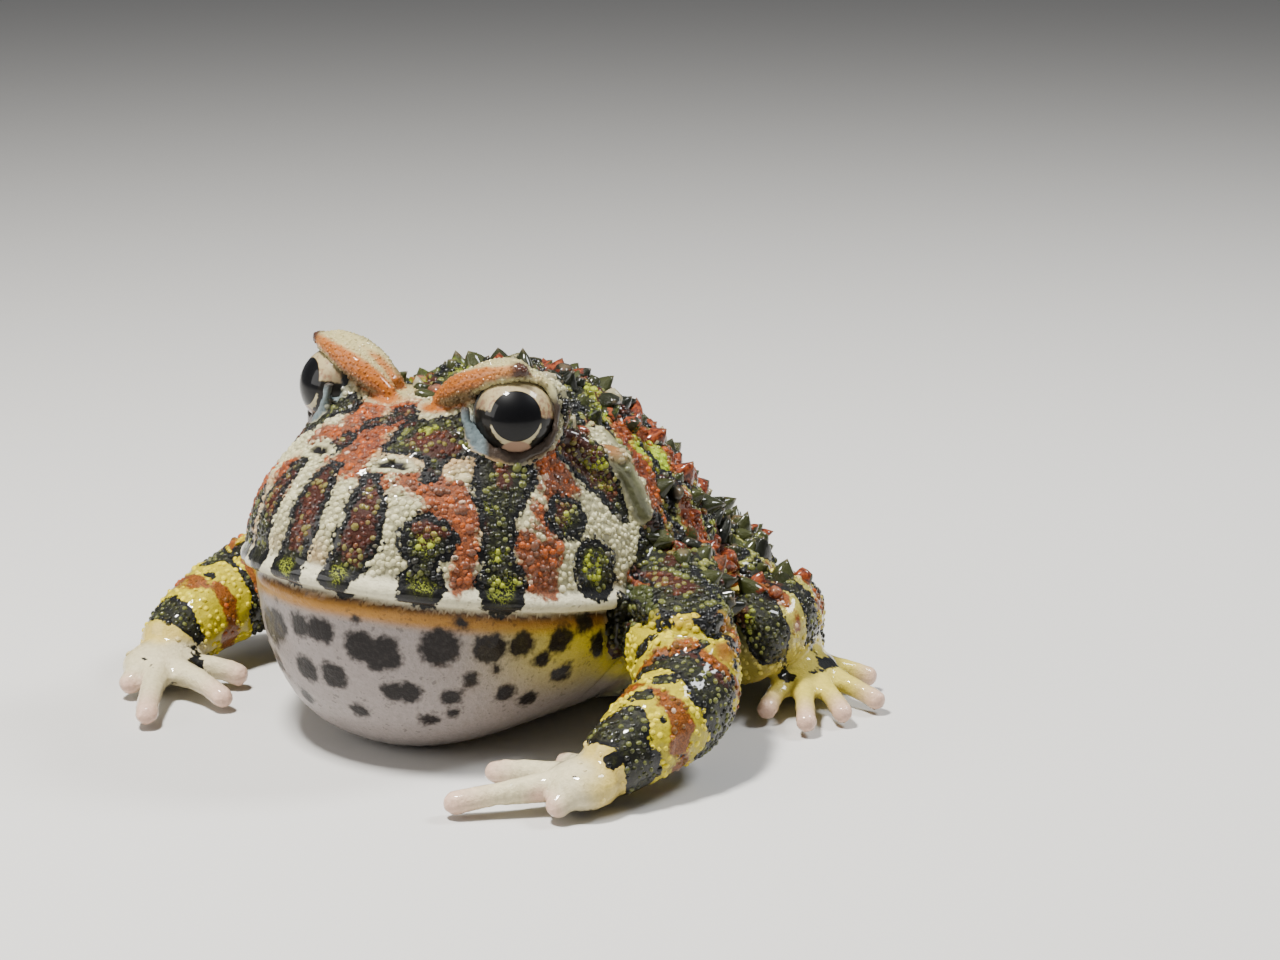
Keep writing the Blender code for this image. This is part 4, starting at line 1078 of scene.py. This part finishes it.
def growth(name, grain, finish, share, lean):
    """Geometry nodes that set a form over a surface, each copy with its own size, turn and tone."""
    tree = bpy.data.node_groups.new(name, "GeometryNodeTree")
    for label, kind in (("Geometry", "Geometry"), ("Spacing", "Float"), ("Smallest", "Float"),
                        ("Largest", "Float"), ("Seed", "Int")):
        tree.interface.new_socket(label, in_out="INPUT", socket_type="NodeSocket" + kind)
    tree.interface.new_socket("Geometry", in_out="OUTPUT", socket_type="NodeSocketGeometry")
    nodes = Nodes(tree)
    add = nodes.add
    given = tree.nodes.new("NodeGroupInput")
    wire = {socket.name: Wire(None, socket) for socket in given.outputs if socket.name}
    chosen = add("GeometryNodeInputNamedAttribute", {"data_type": "FLOAT"}, {"Name": share})
    scattered = tree.nodes.new("GeometryNodeDistributePointsOnFaces")
    scattered.distribute_method = "POISSON"
    for label, value in (("Mesh", wire["Geometry"]), ("Distance Min", wire["Spacing"]), ("Density Max", 4.0),
                         ("Density Factor", chosen), ("Seed", wire["Seed"])):
        nodes.feed(scattered.inputs[label], value)
    points, facing = Wire(None, scattered.outputs["Points"]), Wire(None, scattered.outputs["Rotation"])
    grain_info = add("GeometryNodeObjectInfo", inputs={"Object": grain}, output="Geometry")
    size = add("FunctionNodeRandomValue", {"data_type": "FLOAT"},
               {2: wire["Smallest"], 3: wire["Largest"], "Seed": 3}, 1)
    spin = add("FunctionNodeRandomValue", {"data_type": "FLOAT_VECTOR"},
               {0: (-lean, -lean, -3.14), 1: (lean, lean, 3.14), "Seed": 5}, 0)
    turned = add("FunctionNodeRotateRotation", {"rotation_space": "LOCAL"},
                 {"Rotation": facing, "Rotate By": spin})
    stretch = add("FunctionNodeRandomValue", {"data_type": "FLOAT_VECTOR"},
                  {0: (0.8, 0.8, 0.75), 1: (1.2, 1.2, 1.25), "Seed": 7}, 0)
    scale = add("ShaderNodeVectorMath", {"operation": "SCALE"}, {0: stretch, "Scale": size})
    set_out = add("GeometryNodeInstanceOnPoints", inputs={"Points": points, "Instance": grain_info,
                                                          "Rotation": turned, "Scale": scale})
    tone = add("FunctionNodeRandomValue", {"data_type": "FLOAT"}, {2: 0.0, 3: 1.0, "Seed": 9}, 1)
    toned = add("GeometryNodeStoreNamedAttribute", {"data_type": "FLOAT", "domain": "INSTANCE"},
                {"Geometry": set_out, "Name": "tone", "Value": tone})
    solid = add("GeometryNodeRealizeInstances", inputs={"Geometry": toned})
    root = add("GeometryNodeInputNamedAttribute", {"data_type": "FLOAT_VECTOR"}, {"Name": "unwrap"})
    spot = add("GeometryNodeInputNamedAttribute", {"data_type": "FLOAT_VECTOR"}, {"Name": "spot"})
    both = add("ShaderNodeVectorMath", {"operation": "ADD"}, {0: root, 1: spot})
    mapped = add("GeometryNodeStoreNamedAttribute", {"data_type": "FLOAT2", "domain": "CORNER"},
                 {"Geometry": solid, "Name": "OFBake", "Value": both})
    finished = add("GeometryNodeSetMaterial", inputs={"Geometry": mapped, "Material": finish})
    ending = tree.nodes.new("NodeGroupOutput")
    tree.links.new(finished.socket, ending.inputs["Geometry"])
    return tree


def scatter(name, host_mesh, form, finish, spacing, sizes, share, seed, lean=0.0):
    """Covers a copy of the host with the form, spaced apart, and keeps only what has grown on it."""
    grain = link(name + "_grain", form)
    piece = link(name, host_mesh.copy())
    tree = growth(name, grain, finish, share, lean)
    grow = piece.modifiers.new("grow", "NODES")
    grow.node_group = tree
    keys = {item.name: item.identifier for item in tree.interface.items_tree if item.in_out == "INPUT"}
    for label, value in (("Spacing", spacing), ("Smallest", sizes[0]), ("Largest", sizes[1]), ("Seed", seed)):
        grow[keys[label]] = value
    settle(piece)
    bpy.data.objects.remove(grain)
    for spent in ("unwrap", "spot"):
        held = piece.data.attributes.get(spent)
        if held:
            piece.data.attributes.remove(held)
    piece.data.transform(to_frame)
    piece.data.shade_smooth()
    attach(piece, "root")


def dome(t):
    """Profile of a rounded grain."""
    return math.cos(t * math.pi / 2) if t else 1.0, -0.30 + 0.80 * math.sin(t * math.pi / 2)


def thorn_form(t):
    """Profile of a pointed wart."""
    return 1.15 * (1 - t) ** 0.85 + 0.10 * math.sin(math.pi * t), -0.5 + 1.9 * t


def stub_form(t):
    """Profile of a blunt wart."""
    return 1.15 - 0.65 * t ** 1.3, -0.5 + 1.4 * math.sin(t * math.pi / 2)


clear = np.clip(1 - bare, 0, 1)
head_part = (1 - body) * ramp(above_lip, 2.2, 3.4)
low_limbs = limb_part * (1 - ramp(places[:, 2], 17, 21))
spared = ramp(lime, -0.5, 0.8) * ramp(both_sides(ORANGE_BAND), 0.0, 1.2)
crown = ramp(places[:, 1], -12, -8) * (1 - ramp(np.abs(places[:, 0]), 7, 10))
spined = np.max([ramp(places[:, 1], -6, 0) * ramp(places[:, 2], 42, 45), body, crown * (1 - lids)], axis=0)
shares = {
    "for_head": head_part * (1 - limb_part) * clear,
    "for_limbs": low_limbs * clear * (1 - 0.5 * ramp(dark, 0.0, 1.0)),
    "for_lumps": head_part * (1 - limb_part) * clear * ramp(dark, 0.6, 1.4),
    "for_back": np.maximum(body, limb_part) * (1 - low_limbs) * clear,
    "for_lids": lids,
    "for_spines": spined * (1 - low_limbs) * ramp(places[:, 2], 10, 20) * clear * spared,
}
for name, values in shares.items():
    keep(skin.data, name, np.round(values, 2))
bead = bead_form("bead", 7, 3, dome)
thorn = bead_form("thorn", 11, 5, thorn_form, 0.13, 0.22)
stub = bead_form("stub", 11, 4, stub_form, 0.12, 0.10)
scatter("beads_head", skin.data, bead, BEAD_FINISH, 0.70, (0.36, 0.60), "for_head", 1)
scatter("lumps_head", skin.data, bead, BEAD_FINISH, 1.9, (0.55, 0.90), "for_lumps", 7)
scatter("beads_lids", skin.data, bead, BEAD_FINISH, 0.50, (0.18, 0.34), "for_lids", 8)
scatter("beads_limbs", skin.data, bead, BEAD_FINISH, 0.80, (0.34, 0.56), "for_limbs", 2)
scatter("beads_back", skin.data, bead, BEAD_FINISH, 0.95, (0.42, 0.78), "for_back", 3)
scatter("warts_spiny", skin.data, thorn, WART_FINISH, 3.6, (0.9, 1.5), "for_spines", 4, lean=0.4)
scatter("warts_large", skin.data, thorn, WART_FINISH, 6.6, (1.5, 2.1), "for_spines", 5, lean=0.3)
scatter("warts_blunt", skin.data, stub, WART_FINISH, 4.4, (0.8, 1.4), "for_spines", 6, lean=0.25)
skin.data.uv_layers.remove(skin.data.uv_layers["unwrap"])

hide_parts(*[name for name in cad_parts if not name.startswith("eye_")])
skin.data.transform(to_frame)
skin.data.shade_smooth()
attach(skin, "root")

# The eyes: wet black pupils in irises of pale gold above and black below
# In life a clear cornea over a round pupil, under a film of tears.
def eye_finish():
    finish = bpy.data.materials.new("wet_eye")
    finish.use_nodes = True
    nodes = Nodes(finish.node_tree)
    shader = finish.node_tree.nodes["Principled BSDF"]
    across, above = nodes.number("across"), nodes.number("above")
    where = nodes.add("ShaderNodeTexCoord", output="Object")
    millimetres = nodes.add("ShaderNodeVectorMath", {"operation": "SCALE"}, {0: where, "Scale": 1000.0})
    veins = nodes.add("ShaderNodeTexNoise", inputs={"Vector": millimetres, "Scale": 1.6, "Detail": 4.0})
    out = nodes.maths("SQRT", across * across + above * above)
    ragged = (veins - 0.5) * 0.16
    streaks = (veins + above * 0.25).between(0.35, 0.70)
    # The gold is set darker than the iris's own colour, and darker again on the nasal side: painted shade.
    shaded_gold = nodes.blend(streaks, rgb(0.21, 0.115, 0.065), rgb(0.36, 0.29, 0.15))
    shaded_gold = nodes.blend((across * -1.0 + ragged).between(0.55, 0.95) * 0.75, shaded_gold, rgb(0.07, 0.05, 0.035))
    upper = (above + ragged + across * 0.16).between(0.02, 0.09)
    near_pupil = 1 - (out + ragged + across * across * 0.22).between(0.71, 0.75)
    crescent = near_pupil * (1 - (above + 0.16).between(-0.08, 0.0))
    foot = 1 - (across * across * 6.0 + (above + 0.78) * (above + 0.78) * 20.0 + ragged).between(0.6, 0.9)
    iris = nodes.blend(upper, rgb(0.006, 0.005, 0.004), shaded_gold)
    iris = nodes.blend(crescent, iris, rgb(0.50, 0.44, 0.27))
    iris = nodes.blend(foot, iris, rgb(0.30, 0.19, 0.13))
    iris = nodes.blend((out + ragged * 0.3).between(0.93, 0.96), iris, rgb(0.030, 0.034, 0.036))
    pupil = 1 - out.between(0.595, 0.61)
    nodes.feed(shader.inputs["Base Color"], nodes.blend(pupil, iris, rgb(0.001, 0.001, 0.0015)))
    shader.inputs["Roughness"].default_value = 0.45
    shader.inputs["Specular IOR Level"].default_value = 0.1
    shader.inputs["Coat IOR"].default_value = 1.27
    shader.inputs["Coat Weight"].default_value = 1.0
    shader.inputs["Coat Roughness"].default_value = 0.02
    return finish


EYE_FINISH = eye_finish()
PUPIL_DROP = -0.09
GAZE_OUT = {1: 42, -1: 28}
for side, name in ((1, "left"), (-1, "right")):
    centre = eye_centre(side)
    axis = (eye_axis(side, GAZE_OUT[side]) + Vector((0, 0, PUPIL_DROP))).normalized()
    turn = axis.to_track_quat("Z", "Y").to_matrix().to_4x4()
    eye = ball("eyeball_" + name, centre, [EYE_RADIUS] * 3, 64, 48, turn)
    spots = points_of(eye.data)
    from_centre = (spots - np.array(centre)) / EYE_RADIUS
    level = Vector((0, 0, 1)).cross(axis).normalized()
    rise = axis.cross(level)
    keep(eye.data, "across", side * (from_centre @ np.array(level)))
    keep(eye.data, "above", from_centre @ np.array(rise) + 2.0 * (from_centre @ np.array(axis) < 0))
    eye.data.materials.append(EYE_FINISH)
    eye.data.transform(to_frame)
    eye.data.shade_smooth()
    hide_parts("eye_" + name)
    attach(eye, "root")

# The floor, the light and the camera
# A plain pale table under a small hard key light, which gives the wet skin its glints, with
# softer light from behind and from the front. The near eye stays where the photo has it.
plane = bmesh.new()
bmesh.ops.create_grid(plane, x_segments=1, y_segments=1, size=1.2)
floor_mesh = bpy.data.meshes.new("floor")
plane.to_mesh(floor_mesh)
plane.free()
floor = link("floor", floor_mesh)
floor_finish = bpy.data.materials.new("floor")
floor_finish.use_nodes = True
floor_finish.node_tree.nodes["Principled BSDF"].inputs["Base Color"].default_value = (0.56, 0.55, 0.53, 1)
floor_finish.node_tree.nodes["Principled BSDF"].inputs["Roughness"].default_value = 0.8
floor.data.materials.append(floor_finish)

world = bpy.data.worlds.new("studio")
world.use_nodes = True
world.node_tree.nodes["Background"].inputs["Color"].default_value = (0.93, 0.95, 1.0, 1)
world.node_tree.nodes["Background"].inputs["Strength"].default_value = 0.16
bpy.context.scene.world = world


def soft_light(name, power, size, at, colour):
    lamp = bpy.data.lights.new(name, "AREA")
    lamp.energy, lamp.size, lamp.color = power, size, colour
    holder = bpy.data.objects.new(name, lamp)
    bpy.context.scene.collection.objects.link(holder)
    holder.location = at
    holder.rotation_euler = (Vector((0, 0, 0.025)) - Vector(at)).to_track_quat("-Z", "Y").to_euler()


soft_light("key", 8.0, 0.08, (-0.05, -0.17, 0.53), (1.0, 0.98, 0.94))
soft_light("back", 3.0, 0.14, (0.26, 0.26, 0.44), (0.96, 0.98, 1.0))
soft_light("fill", 1.6, 0.35, (-0.30, -0.48, 0.26), (1.0, 0.98, 0.95))

LENS, SENSOR = 78.0, 36.0
CAMERA_AZIMUTH, CAMERA_PITCH, EYE_DISTANCE = math.radians(36), math.radians(15), 385.0
EYE_RIGHT_OF_CENTRE, EYE_ABOVE_CENTRE = -0.04544, 0.02308
towards_camera = Vector((math.sin(CAMERA_AZIMUTH) * math.cos(CAMERA_PITCH),
                         -math.cos(CAMERA_AZIMUTH) * math.cos(CAMERA_PITCH), math.sin(CAMERA_PITCH)))
right = Vector((math.cos(CAMERA_AZIMUTH), math.sin(CAMERA_AZIMUTH), 0))
up = towards_camera.cross(right)
viewpoint = LEFT_EYE - (right * EYE_RIGHT_OF_CENTRE + up * EYE_ABOVE_CENTRE - towards_camera) * EYE_DISTANCE
camera = bpy.data.cameras.new("camera")
camera.lens, camera.sensor_width, camera.clip_start = LENS, SENSOR, 0.01
viewer = bpy.data.objects.new("camera", camera)
bpy.context.scene.collection.objects.link(viewer)
look = Matrix((right, up, towards_camera)).transposed().to_4x4()
look.translation = to_frame @ viewpoint
viewer.matrix_world = look
bpy.context.scene.camera = viewer
